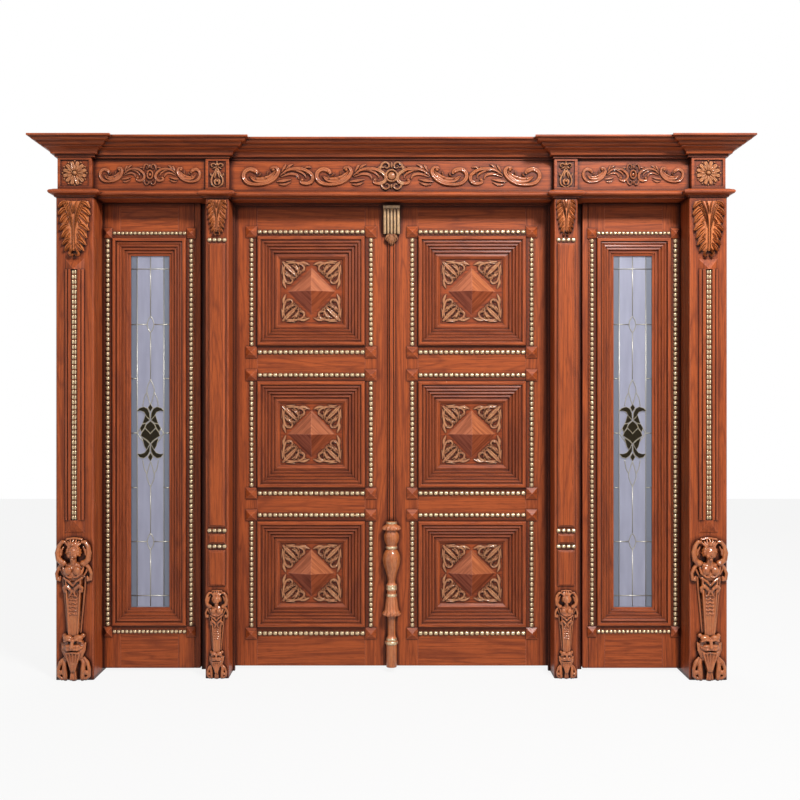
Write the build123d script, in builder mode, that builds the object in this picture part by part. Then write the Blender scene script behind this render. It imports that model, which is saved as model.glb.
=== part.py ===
from build123d import *
import math
import os

# A carved timber entrance door set: two inward-opening leaves between two inner posts,
# a fixed glazed sidelight and an outer pilaster on each side, and a frieze and cornice on top.
# X runs along the width, -Y is the carved front, Z is up, and the floor is at Z = 0.

os.makedirs("parts", exist_ok=True)

# Overall sizes
cornice_projection = 115.0
frame_depth = 245.0
hinge_standoff = 15.0
cornice_top = 2815.0
cornice_bottom = 2720.0
string_top = 2554.0
post_top = 2512.0

# Depths along Y, all worked out from the front face of the outer posts
post_front = cornice_projection - (cornice_projection + frame_depth + hinge_standoff) / 2
frame_back = post_front + frame_depth
side_bay_front = post_front + 45.0
inner_front = post_front + 30.0
centre_front = post_front + 75.0
beam_front = post_front + 95.0
light_front = post_front + 170.0
light_back = light_front + 50.0
leaf_front = post_front + 195.0
leaf_back = frame_back

# Places along X, from the centre line outwards
opening_half = 852.0
inner_post_outer = 973.0
light_inner = 1026.0
outer_post_inner = 1549.0
outer_post_outer = 1745.0
inner_post_centre = (opening_half + inner_post_outer) / 2
outer_post_centre = (outer_post_inner + outer_post_outer) / 2

# Door leaves
leaf_gap = 4.0
leaf_low = 22.0
leaf_high = 2508.0
meeting_half_gap = 2.0
leaf_edge = opening_half - leaf_gap
stop_width = 10.0
stop_depth = 20.0
panel_centres = (2043.0, 1270.0, 517.0)
panel_heights = (590.0, 574.0, 570.0)
panel_centre_x = 433.5
panel_width = 581.0
moulding_width = 122.0
field_front = leaf_front + 24.0
diamond_half = 128.0
diamond_height = 44.0
block_size = 62.0
block_height = 18.0
bead_radius = 11.0
bead_rows = (2361.0, 1713.0, 1589.0, 952.0, 834.0, 197.0)
bead_columns = (111.5, 755.5)

# Sidelights
light_centre_x = 1299.5
light_low = 16.0
light_moulding_width = 397.0
light_moulding_low = 244.0
light_moulding_high = 2325.0
glass_width = 207.0
glass_low = 362.0
glass_high = 2191.0
glass_front = light_front + 24.0
glass_thickness = 20.0
light_bead_rows = (2350.0, 212.0)
light_bead_columns = (1075.5, 1523.5)
light_block_width = 50.0
light_block_height = 57.0
came_width = 7.0
came_height = 3.5

# Hinges
hinge_heights = (2230.0, 1530.0, 950.0, 270.0)
hinge_length = 125.0
hinge_plate = 2.5
plate_depth = 36.0
pin_radius = 4.0
running_clearance = 0.05
knuckle_radius = hinge_standoff / 2 - 1.0
hinge_x = opening_half - leaf_gap / 2
hinge_y = frame_back + hinge_standoff - knuckle_radius


def front_plane(y):
    """The vertical plane at depth y that faces the viewer, with X across and Z up."""
    return Plane.XZ.offset(-y)


def save(piece, name):
    """Label a finished piece and write it to its own file."""
    piece.part.label = name
    export_step(piece.part, f"parts/{name}.step")


def save_pair(piece, left_name, right_name):
    """Write a piece built on the right and its mirror image on the left."""
    save(piece, right_name)
    with BuildPart() as twin:
        mirror(piece.part, about=Plane.YZ)
    save(twin, left_name)


def board(x_from, x_to, z_from, z_to, back, front, mode=Mode.ADD):
    """A flat board between two places across, two heights and two depths."""
    with BuildSketch(front_plane(back)) as outline:
        with Locations(((x_from + x_to) / 2, (z_from + z_to) / 2)):
            Rectangle(abs(x_to - x_from), abs(z_to - z_from))
    extrude(outline.sketch, amount=back - front, mode=mode)


def pyramid(x, z, width, height, seat, rise):
    """A four-sided pyramid on a low square plinth, planted on the face at depth seat."""
    plinth = 4.0
    board(x - width / 2, x + width / 2, z - height / 2, z + height / 2, seat, seat - plinth)
    with BuildSketch(front_plane(seat - plinth)) as base:
        with Locations((x, z)):
            Rectangle(width, height)
    loft(sections=[base.sketch.faces()[0], Vertex(x, seat - plinth - rise, z)])


def mitred_frame(x, z, width, height, profile, seat):
    """A moulding run round a rectangle, mitred at its corners.

    The profile is a list of (distance in from the outer edge, height above the seat).
    """
    low = z - height / 2
    with BuildLine(front_plane(seat)) as path:
        Polyline(
            (x, low),
            (x - width / 2, low),
            (x - width / 2, z + height / 2),
            (x + width / 2, z + height / 2),
            (x + width / 2, low),
            (x, low),
        )
    start = Plane(origin=(x, seat, low), x_dir=(0, 0, 1), z_dir=(1, 0, 0))
    with BuildSketch(start) as section:
        with BuildLine():
            Polyline(profile, close=True)
        make_face()
    sweep(sections=section.sketch, path=path.wires()[0], transition=Transition.RIGHT)


def stroke(points, seat, rise, place=(0.0, 0.0), scale=(1.0, 1.0), widen=1.0):
    """One carved stroke, cut in flat facets: a band that bends, swells and narrows.

    Each point is (across, up, width). The two edges run from point to point, set off by
    half the width on each side of the centre line.
    """
    centre = [(place[0] + scale[0] * u, place[1] + scale[1] * v) for u, v, w in points]
    swell = widen * (abs(scale[0]) + abs(scale[1])) / 2
    near, far = [], []
    for i, (u, v) in enumerate(centre):
        before = centre[max(i - 1, 0)]
        after = centre[min(i + 1, len(centre) - 1)]
        run = math.hypot(after[0] - before[0], after[1] - before[1])
        across = ((before[1] - after[1]) / run, (after[0] - before[0]) / run)
        half = swell * points[i][2] / 2
        near.append((u + across[0] * half, v + across[1] * half))
        far.append((u - across[0] * half, v - across[1] * half))
    with BuildSketch(front_plane(seat)) as band:
        with BuildLine():
            Polyline(near + far[::-1], close=True)
        make_face()
    extrude(band.sketch, amount=rise)


def disc(x, z, radius, seat, rise, mode=Mode.ADD):
    """A round boss, or with Mode.SUBTRACT a round sinking."""
    with BuildSketch(front_plane(seat)) as outline:
        with Locations((x, z)):
            Circle(radius)
    extrude(outline.sketch, amount=rise, mode=mode)


# Posts
with BuildPart() as outer_post:
    board(outer_post_inner, outer_post_outer, 0, post_top, frame_back, post_front)
    arrises = outer_post.edges().filter_by(Axis.Z).group_by(Axis.Y)[0]
    chamfer(arrises, length=5)
save_pair(outer_post, "outer_post_left", "outer_post_right")

# The inner post carries the leaf: it has the leaf's stop and the sinkings for the hinges
stop_back = leaf_front - 1.0
stop_front = stop_back - stop_depth
with BuildPart() as inner_post:
    board(opening_half, inner_post_outer, 0, post_top, frame_back, inner_front)
    arrises = inner_post.edges().filter_by(Axis.Z).group_by(Axis.Y)[0]
    chamfer(arrises, length=5)
    board(opening_half - stop_width, opening_half, 0, post_top, stop_back, stop_front)
    board(inner_post_outer, light_inner, 0, post_top, frame_back, light_back - 15)
    for height in hinge_heights:
        low, high = height - hinge_length / 2, height + hinge_length / 2
        sunk = opening_half + hinge_plate - 1.0
        front = frame_back - plate_depth
        board(opening_half, sunk, low, high, frame_back, front, Mode.SUBTRACT)
save_pair(inner_post, "inner_post_left", "inner_post_right")

# Head of the frame, with the stop that the leaves close against
with BuildPart() as head_beam:
    board(-outer_post_outer, outer_post_outer, post_top, cornice_bottom, frame_back, beam_front)
    stop_reach = opening_half - stop_width
    board(-stop_reach, stop_reach, post_top - stop_width, post_top, stop_back, stop_front)
save(head_beam, "head_beam")

# Frieze boards and blocks
block_border = 14.0
block_sinking = 8.0
outer_block_inner = outer_post_inner + 12.0
outer_block_outer = outer_post_outer - 8.0

with BuildPart() as frieze_boards:
    board(
        inner_post_outer,
        outer_block_inner,
        string_top,
        cornice_bottom,
        beam_front,
        side_bay_front,
    )
    mirror(about=Plane.YZ)
    board(-opening_half, opening_half, string_top, cornice_bottom, beam_front, centre_front)
save(frieze_boards, "frieze_boards")


def panelled_block(x_from, x_to, front, border):
    """A frieze block with a sunk panel inside a raised border."""
    board(x_from, x_to, string_top, cornice_bottom, beam_front, front)
    board(
        x_from + border,
        x_to - border,
        string_top + block_border,
        cornice_bottom - block_border,
        front + block_sinking,
        front,
        Mode.SUBTRACT,
    )


with BuildPart() as outer_frieze_blocks:
    panelled_block(outer_block_inner, outer_block_outer, post_front, block_border)
    mirror(about=Plane.YZ)
save(outer_frieze_blocks, "outer_frieze_blocks")

with BuildPart() as inner_frieze_blocks:
    panelled_block(opening_half, inner_post_outer, inner_front, block_border)
    mirror(about=Plane.YZ)
save(inner_frieze_blocks, "inner_frieze_blocks")


# Cornice and string moulding: the profile runs round a plan that steps forward over the posts
def stepped_plan(breaks, reach, back, z):
    """The plan of a moulding at height z, grown outwards and forwards by reach.

    Breaks go from the outer end to the centre: (place across of the inner end, front depth).
    """
    side_end = outer_post_outer + reach
    corners = [(side_end, back)]
    across = side_end
    for i, (inner_end, front) in enumerate(breaks):
        corners.append((across, front - reach))
        following = breaks[i + 1][1] if i + 1 < len(breaks) else front
        if inner_end == 0:
            break
        across = inner_end - reach if following > front else inner_end + reach
        corners.append((across, front - reach))
    outline = corners + [(-u, v) for u, v in reversed(corners)]
    with BuildSketch(Plane.XY.offset(z)) as plan:
        with BuildLine():
            Polyline(outline, close=True)
        make_face()
    return plan.sketch.faces()[0]


def stepped_moulding(breaks, profile, back):
    """Stack one ruled course for each sloping stretch of the profile (reach, height)."""
    for (reach, z), (next_reach, next_z) in zip(profile, profile[1:]):
        if next_z > z:
            lower = stepped_plan(breaks, reach, back, z)
            upper = stepped_plan(breaks, next_reach, back, next_z)
            loft(sections=[lower, upper], ruled=True)


cornice_breaks = ((outer_post_inner, post_front), (opening_half, inner_front), (0, centre_front))
cornice_profile = (
    (6, cornice_bottom),
    (6, cornice_bottom + 12),
    (22, cornice_bottom + 14),
    (24, cornice_bottom + 24),
    (30, cornice_bottom + 32),
    (40, cornice_bottom + 39),
    (56, cornice_bottom + 44),
    (56, cornice_bottom + 48),
    (66, cornice_bottom + 52),
    (74, cornice_bottom + 58),
    (78, cornice_bottom + 66),
    (84, cornice_bottom + 66.5),
    (94, cornice_bottom + 70),
    (100, cornice_bottom + 76),
    (103, cornice_bottom + 83),
    (108, cornice_bottom + 83.5),
    (cornice_projection, cornice_bottom + 86),
    (cornice_projection, cornice_top),
)
cornice_wall = 15.0

with BuildPart() as cornice:
    stepped_moulding(cornice_breaks, cornice_profile, frame_back)
    pocket_end = outer_post_outer - 20.0
    board(
        -pocket_end,
        pocket_end,
        cornice_bottom + cornice_wall,
        cornice_top - cornice_wall,
        frame_back,
        beam_front,
        Mode.SUBTRACT,
    )
save(cornice, "cornice")

string_breaks = (
    (outer_post_inner, post_front),
    (inner_post_outer, side_bay_front),
    (opening_half, inner_front),
    (0, centre_front),
)
string_profile = (
    (8, post_top),
    (8, post_top + 8),
    (12, post_top + 11),
    (20, post_top + 14),
    (30, post_top + 16),
    (34, post_top + 22),
    (34, post_top + 28),
    (29, post_top + 34),
    (20, post_top + 37),
    (8, string_top),
)

with BuildPart() as string_moulding:
    stepped_moulding(string_breaks, string_profile, beam_front)
save(string_moulding, "string_moulding")

# Carved frieze scrolls. One unit is a C-scroll with a leaf inside it, then an acanthus tail.
# The strokes are written for the centre frieze, from the unit's left end and the frieze's middle.
scroll_hook = (
    (90, 18, 22),
    (68, 36, 24),
    (42, 38, 21),
    (19, 20, 20),
    (13, -8, 20),
    (36, -36, 19),
    (78, -46, 16),
    (130, -40, 18),
    (172, -16, 22),
    (196, 20, 19),
    (187, 44, 16),
    (168, 46, 15),
)
scroll_leaf = ((48, -6, 8), (84, -24, 26), (124, -24, 32), (160, -6, 24), (184, 26, 10))
tail_arch = (
    (212, 4, 8),
    (243, 28, 14),
    (290, 38, 18),
    (338, 30, 20),
    (374, 4, 22),
    (377, -22, 24),
    (350, -42, 26),
    (316, -34, 22),
)
tail_ribs = (
    ((210, -6, 8), (258, 10, 14), (294, 4, 14), (304, -14, 12)),
    ((216, 20, 8), (228, 40, 16), (236, 54, 24)),
    ((262, 24, 10), (300, 26, 12), (334, 8, 12), (342, -10, 10)),
)
scroll_unit_length = 385.0
frieze_middle = (string_top + cornice_bottom) / 2
scroll_rise = 14.0


def scroll_unit(x, seat, stretch, grow, rise):
    """One scroll unit that starts at x; a negative stretch runs it to the left."""
    place, scale = (x, frieze_middle), (stretch, grow)
    stroke(scroll_hook, seat, rise, place, scale)
    stroke(scroll_leaf, seat, rise * 0.7, place, scale)
    stroke(tail_arch, seat, rise, place, scale)
    for rib in tail_ribs:
        stroke(rib, seat, rise * 0.6, place, scale)


with BuildPart() as centre_frieze_scroll:
    ring_outer, ring_inner, ring_rise = 40.0, 28.0, 16.0
    place = (0, frieze_middle)
    for start in (794.0, 409.0):
        scroll_unit(start, centre_front, -1.0, 1.0, scroll_rise)
    stroke(((66, 26, 10), (44, 40, 16), (26, 56, 16), (36, 68, 12)), centre_front, 12, place)
    stroke(((58, -38, 10), (40, -50, 16), (20, -66, 16), (12, -48, 12)), centre_front, 12, place)
    mirror(about=Plane.YZ)
    disc(0, frieze_middle, ring_outer, centre_front, ring_rise)
    disc(0, frieze_middle, ring_inner, centre_front - ring_rise, -8.0, Mode.SUBTRACT)
save(centre_frieze_scroll, "centre_frieze_scroll")


# Two smaller units that meet at an oval ring, in the middle of each side bay
side_middle = 1266.0
side_half = 270.0
side_stretch = 245.0 / scroll_unit_length
with BuildPart() as side_frieze_scroll:
    scroll_unit(side_middle - side_half, side_bay_front, side_stretch, 0.8, 11)
    scroll_unit(side_middle + side_half, side_bay_front, -side_stretch, 0.8, 11)
    with BuildSketch(front_plane(side_bay_front)) as oval:
        with Locations((side_middle, frieze_middle)):
            Ellipse(21, 29)
            Ellipse(12, 19, mode=Mode.SUBTRACT)
    extrude(oval.sketch, amount=12)
    place = (side_middle, frieze_middle)
    for way in (-1, 1):
        turned = (way, 1.0)
        stroke(((40, 26, 10), (22, 38, 16), (6, 50, 8)), side_bay_front, 10, place, turned)
        stroke(((34, -34, 10), (20, -50, 18), (4, -58, 8)), side_bay_front, 10, place, turned)
save_pair(side_frieze_scroll, "left_frieze_scroll", "right_frieze_scroll")

# Rosettes on the outer frieze blocks: a ring of petals round a raised centre bead
rosette_x = (outer_block_inner + outer_block_outer) / 2
rosette_radius = 66.0
petal_count = 16


with BuildPart() as frieze_rosettes:
    seat = post_front + block_sinking
    disc(rosette_x, frieze_middle, rosette_radius * 0.62, seat, 9)
    with BuildSketch(front_plane(seat)) as petals:
        with Locations((rosette_x, frieze_middle)):
            with PolarLocations(rosette_radius * 0.56, petal_count):
                Rectangle(rosette_radius * 0.86, rosette_radius * 0.2)
    extrude(petals.sketch, amount=12)
    with BuildSketch(front_plane(seat)) as bead:
        with Locations((rosette_x, frieze_middle)):
            RegularPolygon(16, 10)
    extrude(bead.sketch, amount=20, taper=18)
    mirror(about=Plane.YZ)
save(frieze_rosettes, "frieze_rosettes")

# Upright leaf cartouches on the inner frieze blocks
cartouche_strokes = (
    ((0, -66, 8), (0, -10, 22), (0, 44, 14), (0, 68, 6)),
    ((6, -58, 8), (24, -44, 14), (20, -22, 12), (6, -16, 8)),
    ((6, -6, 8), (27, 6, 14), (24, 26, 12), (8, 30, 8)),
    ((4, 40, 8), (20, 50, 12), (24, 66, 8)),
)
with BuildPart() as frieze_cartouches:
    place = (inner_post_centre, frieze_middle)
    for way in (-1, 1):
        for points in cartouche_strokes:
            stroke(points, inner_front + block_sinking, 15, place, (way, 1.0))
    mirror(about=Plane.YZ)
save(frieze_cartouches, "frieze_cartouches")


# Acanthus capitals at the tops of the posts
def acanthus(x, top, bottom, width, seat, rise):
    """A hanging leaf: a tapering backing, a midrib and curling side lobes in three tiers."""
    tall = top - bottom
    half = width / 2
    with BuildSketch(front_plane(seat)) as backing:
        with BuildLine():
            Polyline(
                (x - half * 0.86, top),
                (x + half * 0.86, top),
                (x + half * 0.9, top - tall * 0.3),
                (x + half * 0.62, top - tall * 0.75),
                (x + half * 0.2, bottom + tall * 0.04),
                (x - half * 0.2, bottom + tall * 0.04),
                (x - half * 0.62, top - tall * 0.75),
                (x - half * 0.9, top - tall * 0.3),
                close=True,
            )
        make_face()
    extrude(backing.sketch, amount=rise * 0.35)
    scale = (half / 86.0, tall / 291.0)
    for way in (-1, 1):
        for points in (
            ((8, -4, 12), (30, -60, 30), (10, -150, 26), (8, -230, 16), (24, -272, 14)),
            ((26, -40, 26), (56, -70, 30), (76, -104, 22), (66, -122, 12)),
            ((22, -120, 24), (48, -150, 28), (68, -186, 22), (56, -204, 12)),
            ((18, -196, 18), (38, -218, 22), (50, -248, 16)),
            ((60, -6, 34), (78, -40, 22), (84, -66, 10)),
        ):
            stroke(points, seat, rise, (x, top), (way * scale[0], scale[1]), 0.95)
    mirror(about=Plane.YZ)


with BuildPart() as outer_capitals:
    acanthus(outer_post_centre, 2490, 2202, 172, post_front, 34)
save(outer_capitals, "outer_capitals")

with BuildPart() as inner_capitals:
    acanthus(inner_post_centre, 2502, 2316, 106, inner_front, 24)
save(inner_capitals, "inner_capitals")

# Outer pilasters: a moulded strip with a column of beads between two half pyramids
strip_low = 832.0
strip_high = 2134.0
strip_half = 50.0
strip_profile = (
    (50, 0),
    (50, 7),
    (42, 12),
    (38, 12),
    (36, 8),
    (30, 16),
    (18, 16),
    (14, 10),
)
with BuildPart() as outer_strips:
    right_half = [(outer_post_centre + u, post_front - v) for u, v in strip_profile]
    left_half = [(outer_post_centre - u, post_front - v) for u, v in reversed(strip_profile)]
    with BuildSketch(Plane.XY.offset(strip_low)) as section:
        with BuildLine():
            Polyline(right_half + left_half, close=True)
        make_face()
    extrude(section.sketch, amount=strip_high - strip_low)
    mirror(about=Plane.YZ)
save(outer_strips, "outer_strips")


def half_rod(x_from, x_to, z_from, z_to, radius, seat):
    """A half-round bead rod on the face at depth seat, along X or along Z."""
    if x_from == x_to:
        with BuildSketch(Plane.XY.offset(z_from)) as section:
            with Locations((x_from, seat)):
                Circle(radius)
                with Locations((0, radius)):
                    Rectangle(4 * radius, 2 * radius, mode=Mode.SUBTRACT)
        extrude(section.sketch, amount=z_to - z_from)
    else:
        with BuildSketch(Plane.YZ.offset(x_from)) as section:
            with Locations((seat, z_from)):
                Circle(radius)
                with Locations((radius, 0)):
                    Rectangle(2 * radius, 4 * radius, mode=Mode.SUBTRACT)
        extrude(section.sketch, amount=x_to - x_from)


with BuildPart() as outer_bead_columns:
    for side in (-1, 1):
        x = side * outer_post_centre
        half_rod(x, x, strip_low, strip_high, 13, post_front - 10)
save(outer_bead_columns, "outer_bead_columns")

with BuildPart() as outer_pyramid_blocks:
    for side in (-1, 1):
        for middle, low, high in ((strip_high, strip_high, 2191), (strip_low, 764, strip_low)):
            reach = max(high - middle, middle - low)
            with BuildSketch(front_plane(post_front)) as base:
                with Locations((side * outer_post_centre, middle)):
                    Rectangle(2 * strip_half, 2 * reach)
            peak = Vertex(side * outer_post_centre, post_front - 26, middle)
            loft(sections=[base.sketch.faces()[0], peak])
    board(-1800, 1800, strip_low, strip_high, post_front, post_front - 40, Mode.SUBTRACT)
save(outer_pyramid_blocks, "outer_pyramid_blocks")

# Inner pilasters: rows of four beads, a long raised panel, a band and a small raised panel
inner_bead_heights = (2293.0, 773.0, 690.0)
inner_bead_radius = 11.5
inner_bead_pitch = 26.0

with BuildPart() as inner_bead_rows:
    for side in (-1, 1):
        reach = 2 * inner_bead_pitch
        for z in inner_bead_heights:
            x = side * inner_post_centre
            half_rod(x - reach, x + reach, z, z, inner_bead_radius, inner_front)
save(inner_bead_rows, "inner_bead_rows")

with BuildPart() as inner_pilaster_panels:
    for side in (-1, 1):
        x = side * inner_post_centre
        for low, high in ((794, 2275), (706, 757), (484, 672)):
            with BuildSketch(front_plane(inner_front)) as outline:
                with Locations((x, (low + high) / 2)):
                    Rectangle(88, high - low)
            extrude(outline.sketch, amount=6)
            with BuildSketch(front_plane(inner_front - 6)) as raised:
                with Locations((x, (low + high) / 2)):
                    Rectangle(84, high - low - 4)
            extrude(raised.sketch, amount=6, taper=50)
save(inner_pilaster_panels, "inner_pilaster_panels")


# Herm figures: a head and raised arms over a chest, a leaf skirt and a tapering shaft
def herm(x, low, seat, size):
    """A herm whose local sizes are those of the outer figure, 530 mm tall, times size."""

    def level(sections):
        """Flat-sided courses. The front corners are always cut at 45 degrees."""
        shape = []
        for z, width, depth in sections:
            half, deep = size * width / 2, size * depth
            corner = 0.55 * min(half, deep)
            with BuildSketch(Plane.XY.offset(low + size * z)) as ring:
                with BuildLine():
                    Polyline(
                        (x - half, seat),
                        (x - half, seat - deep + corner),
                        (x - half + corner, seat - deep),
                        (x + half - corner, seat - deep),
                        (x + half, seat - deep + corner),
                        (x + half, seat),
                        close=True,
                    )
                make_face()
            shape.append(ring.sketch.faces()[0])
        loft(sections=shape, ruled=True)

    level(((0, 48, 26), (180, 78, 34)))
    level(((180, 100, 38), (205, 92, 44), (250, 104, 46)))
    level(((250, 84, 40), (300, 92, 46), (350, 124, 54), (380, 118, 48), (396, 60, 36)))
    level(((396, 38, 34), (404, 50, 46), (424, 60, 58), (448, 56, 58), (466, 34, 42)))
    level(((462, 48, 40), (476, 74, 48), (484, 60, 40)))
    place = (x, low)
    for way in (-1, 1):
        turned = (way * size, size)
        arm = ((52, 352, 36), (84, 386, 32), (80, 440, 28), (46, 486, 26))
        stroke(arm, seat, size * 36, place, turned)
        curl = ((46, 338, 22), (80, 330, 22), (90, 300, 20), (68, 286, 16))
        stroke(curl, seat, size * 24, place, turned)
        leaf = ((26, 262, 24), (50, 236, 30), (58, 196, 14))
        stroke(leaf, seat, size * 40, place, turned)


outer_herm_low = 234.0
inner_herm_low = 138.0
inner_herm_size = 0.64
with BuildPart() as outer_herm:
    herm(outer_post_centre, outer_herm_low, post_front, 1.0)
save_pair(outer_herm, "outer_herm_left", "outer_herm_right")
with BuildPart() as inner_herm:
    herm(inner_post_centre, inner_herm_low, inner_front, inner_herm_size)
save_pair(inner_herm, "inner_herm_left", "inner_herm_right")


# Lion masks over scrolled feet, standing on the floor under the herms
def lion_foot(x, high, seat, size):
    """A lion mask 239 mm tall at size 1, with a beard column and two scrolled feet."""
    place, scale = (x, high), (size, size)
    with BuildSketch(front_plane(seat)) as head:
        with BuildLine():
            Polyline(
                *[
                    (x + size * u, high + size * v)
                    for u, v in (
                        (-40, 0),
                        (-62, -30),
                        (-58, -78),
                        (-34, -124),
                        (34, -124),
                        (58, -78),
                        (62, -30),
                        (40, 0),
                    )
                ],
                close=True,
            )
        make_face()
    extrude(head.sketch, amount=size * 30, taper=20)
    board(x - size * 24, x + size * 24, 0, high - size * 90, seat, seat - size * 26)
    muzzle = ((0, -46, 26), (0, -70, 34), (0, -104, 52))
    stroke(muzzle, seat, size * 48, place, scale)
    for way in (-1, 1):
        turned = (way * size, size)
        brow = ((8, -34, 12), (28, -26, 18), (46, -38, 10))
        stroke(brow, seat, size * 40, place, turned)
        ear = ((44, -14, 20), (58, 0, 20), (62, 16, 8))
        stroke(ear, seat, size * 24, place, turned)
        jowl = ((20, -90, 16), (34, -106, 20), (30, -128, 10))
        stroke(jowl, seat, size * 38, place, turned)
        foot = ((30, 108, 12), (48, 84, 22), (66, 48, 26), (68, 13, 26))
        stroke(foot, seat, size * 34, (x, 0.0), turned)
        board(x + way * size * 22, x + way * size * 82, 0, size * 14, seat, seat - size * 30)
    mirror(about=Plane.YZ)


with BuildPart() as outer_lion_feet:
    lion_foot(outer_post_centre, 230, post_front, 1.0)
save(outer_lion_feet, "outer_lion_feet")

with BuildPart() as inner_lion_feet:
    lion_foot(inner_post_centre, 136, inner_front, 0.62)
save(inner_lion_feet, "inner_lion_feet")

# Sidelights: a frame of stiles and rails, a stepped moulding, one sealed pane and its cames
light_profile = (
    (0, 0),
    (0, 12),
    (6, 18),
    (18, 18),
    (21, 10),
    (30, 13),
    (38, 6),
    (46, 8),
    (52, 0),
    (62, 2),
    (68, -8),
    (80, -8),
    (84, -14),
    (95, -16),
    (95, -24),
    (44, -24),
    (44, 0),
)
frame_rebate = 44.0


def light_frame():
    x = light_centre_x
    half = light_moulding_width / 2 - frame_rebate
    low = light_moulding_low + frame_rebate
    high = light_moulding_high - frame_rebate
    groove = 1056.0
    with BuildPart() as frame:
        board(light_inner, outer_post_inner, light_low, post_top, light_back, light_front)
        board(x - half, x + half, low, high, light_back, light_front, Mode.SUBTRACT)
        board(
            groove - 2,
            groove + 2,
            light_low,
            post_top,
            light_front + 5,
            light_front,
            Mode.SUBTRACT,
        )
    return frame


def light_moulding():
    height = light_moulding_high - light_moulding_low
    middle = (light_moulding_high + light_moulding_low) / 2
    with BuildPart() as moulding:
        x = light_centre_x
        mitred_frame(x, middle, light_moulding_width, height, light_profile, light_front)
    return moulding


def light_glass():
    rebate = frame_rebate
    with BuildPart() as pane:
        x = light_centre_x
        half = light_moulding_width / 2 - rebate
        low = light_moulding_low + rebate
        high = light_moulding_high - rebate
        board(x - half, x + half, low, high, glass_front + glass_thickness, glass_front)
    return pane


def light_cames():
    """Metal cames on the pane: three bars, two ovals and a lotus motif in the middle."""
    middle = (glass_low + glass_high) / 2
    x = light_centre_x
    seat = glass_front
    bar_offset = 73.0
    motif_half = 160.0
    oval_low, oval_high = 702.0, 1863.0
    with BuildPart() as cames:
        for offset in (-bar_offset, bar_offset):
            at = x + offset
            edge = came_width / 2
            board(at - edge, at + edge, glass_low, glass_high, seat, seat - came_height)
        for low, high in ((glass_low, middle - motif_half), (middle + motif_half, glass_high)):
            board(x - came_width / 2, x + came_width / 2, low, high, seat, seat - came_height)
        for z in (glass_low + 38, oval_low, middle, oval_high):
            half = glass_width / 2
            edge = came_width / 2
            board(x - half, x + half, z - edge, z + edge, seat, seat - came_height)
        with BuildSketch(front_plane(seat)) as ovals:
            with Locations((x, oval_low), (x, oval_high)):
                Ellipse(36, 82)
                Ellipse(36 - came_width, 82 - came_width, mode=Mode.SUBTRACT)
        extrude(ovals.sketch, amount=came_height)
        for up in (-1, 1):
            for way in (-1, 1):
                turned = (way, up)
                horn = ((8, 128, 14), (44, 92, 16), (66, 118, 10), (68, 150, 6))
                stroke(horn, seat, 6, (x, middle), turned)
                petal = ((6, 60, 8), (40, 44, 14), (62, 6, 8))
                stroke(petal, seat, 6, (x, middle), turned)
                tulip = ((4, 300, 7), (38, 250, 7), (56, 164, 7))
                stroke(tulip, seat, came_height, (x, middle), turned)
        with BuildSketch(front_plane(seat)) as diamonds:
            with Locations((x, middle), (x, middle + 128), (x, middle - 128)):
                RegularPolygon(22, 4)
        extrude(diamonds.sketch, amount=8, taper=20)
    return cames


def light_beads():
    """Bead rods round the moulding, between the corner blocks."""
    x = light_centre_x
    seat = light_front
    with BuildPart() as beads:
        gap = light_block_height / 2
        for column in light_bead_columns:
            low, high = light_bead_rows[1] + gap, light_bead_rows[0] - gap
            half_rod(column, column, low, high, bead_radius, seat)
        reach = (light_bead_columns[1] - light_bead_columns[0] - light_block_width) / 2
        for z in light_bead_rows:
            half_rod(x - reach, x + reach, z, z, 9, seat)
    return beads


save_pair(light_frame(), "sidelight_frame_left", "sidelight_frame_right")
save_pair(light_moulding(), "sidelight_moulding_left", "sidelight_moulding_right")
save_pair(light_glass(), "sidelight_glass_left", "sidelight_glass_right")
save_pair(light_cames(), "sidelight_cames_left", "sidelight_cames_right")
save_pair(light_beads(), "sidelight_beads_left", "sidelight_beads_right")

with BuildPart() as sidelight_blocks:
    for column in light_bead_columns:
        for z in light_bead_rows:
            pyramid(column, z, light_block_width, light_block_height, light_front, 16)
    mirror(about=Plane.YZ)
save(sidelight_blocks, "sidelight_blocks")

# Door leaves: stiles and rails round three openings, each with a moulding and a raised field
leaf_profile = (
    (0, 0),
    (0, 14),
    (6, 22),
    (18, 22),
    (24, 13),
    (34, 16),
    (42, 7),
    (51, 10),
    (58, 1),
    (68, 4),
    (75, -6),
    (86, -3),
    (92, -13),
    (106, -10),
    (moulding_width, -21),
    (moulding_width, -24),
    (60, -24),
    (60, 0),
)
leaf_rebate = 60.0


def leaf_frame():
    with BuildPart() as frame:
        board(meeting_half_gap, leaf_edge, leaf_low, leaf_high, leaf_back, leaf_front)
        for z, height in zip(panel_centres, panel_heights):
            half = panel_width / 2 - leaf_rebate
            rise = height / 2 - leaf_rebate
            x = panel_centre_x
            board(x - half, x + half, z - rise, z + rise, leaf_back, leaf_front, Mode.SUBTRACT)
        for z in hinge_heights:
            low, high = z - hinge_length / 2, z + hinge_length / 2
            sunk = leaf_edge - hinge_plate + 1.0
            front = leaf_back - plate_depth
            board(sunk, leaf_edge, low, high, leaf_back, front, Mode.SUBTRACT)
    return frame


def leaf_mouldings():
    with BuildPart() as mouldings:
        for z, height in zip(panel_centres, panel_heights):
            x = panel_centre_x
            mitred_frame(x, z, panel_width, height, leaf_profile, leaf_front)
    return mouldings


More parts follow.
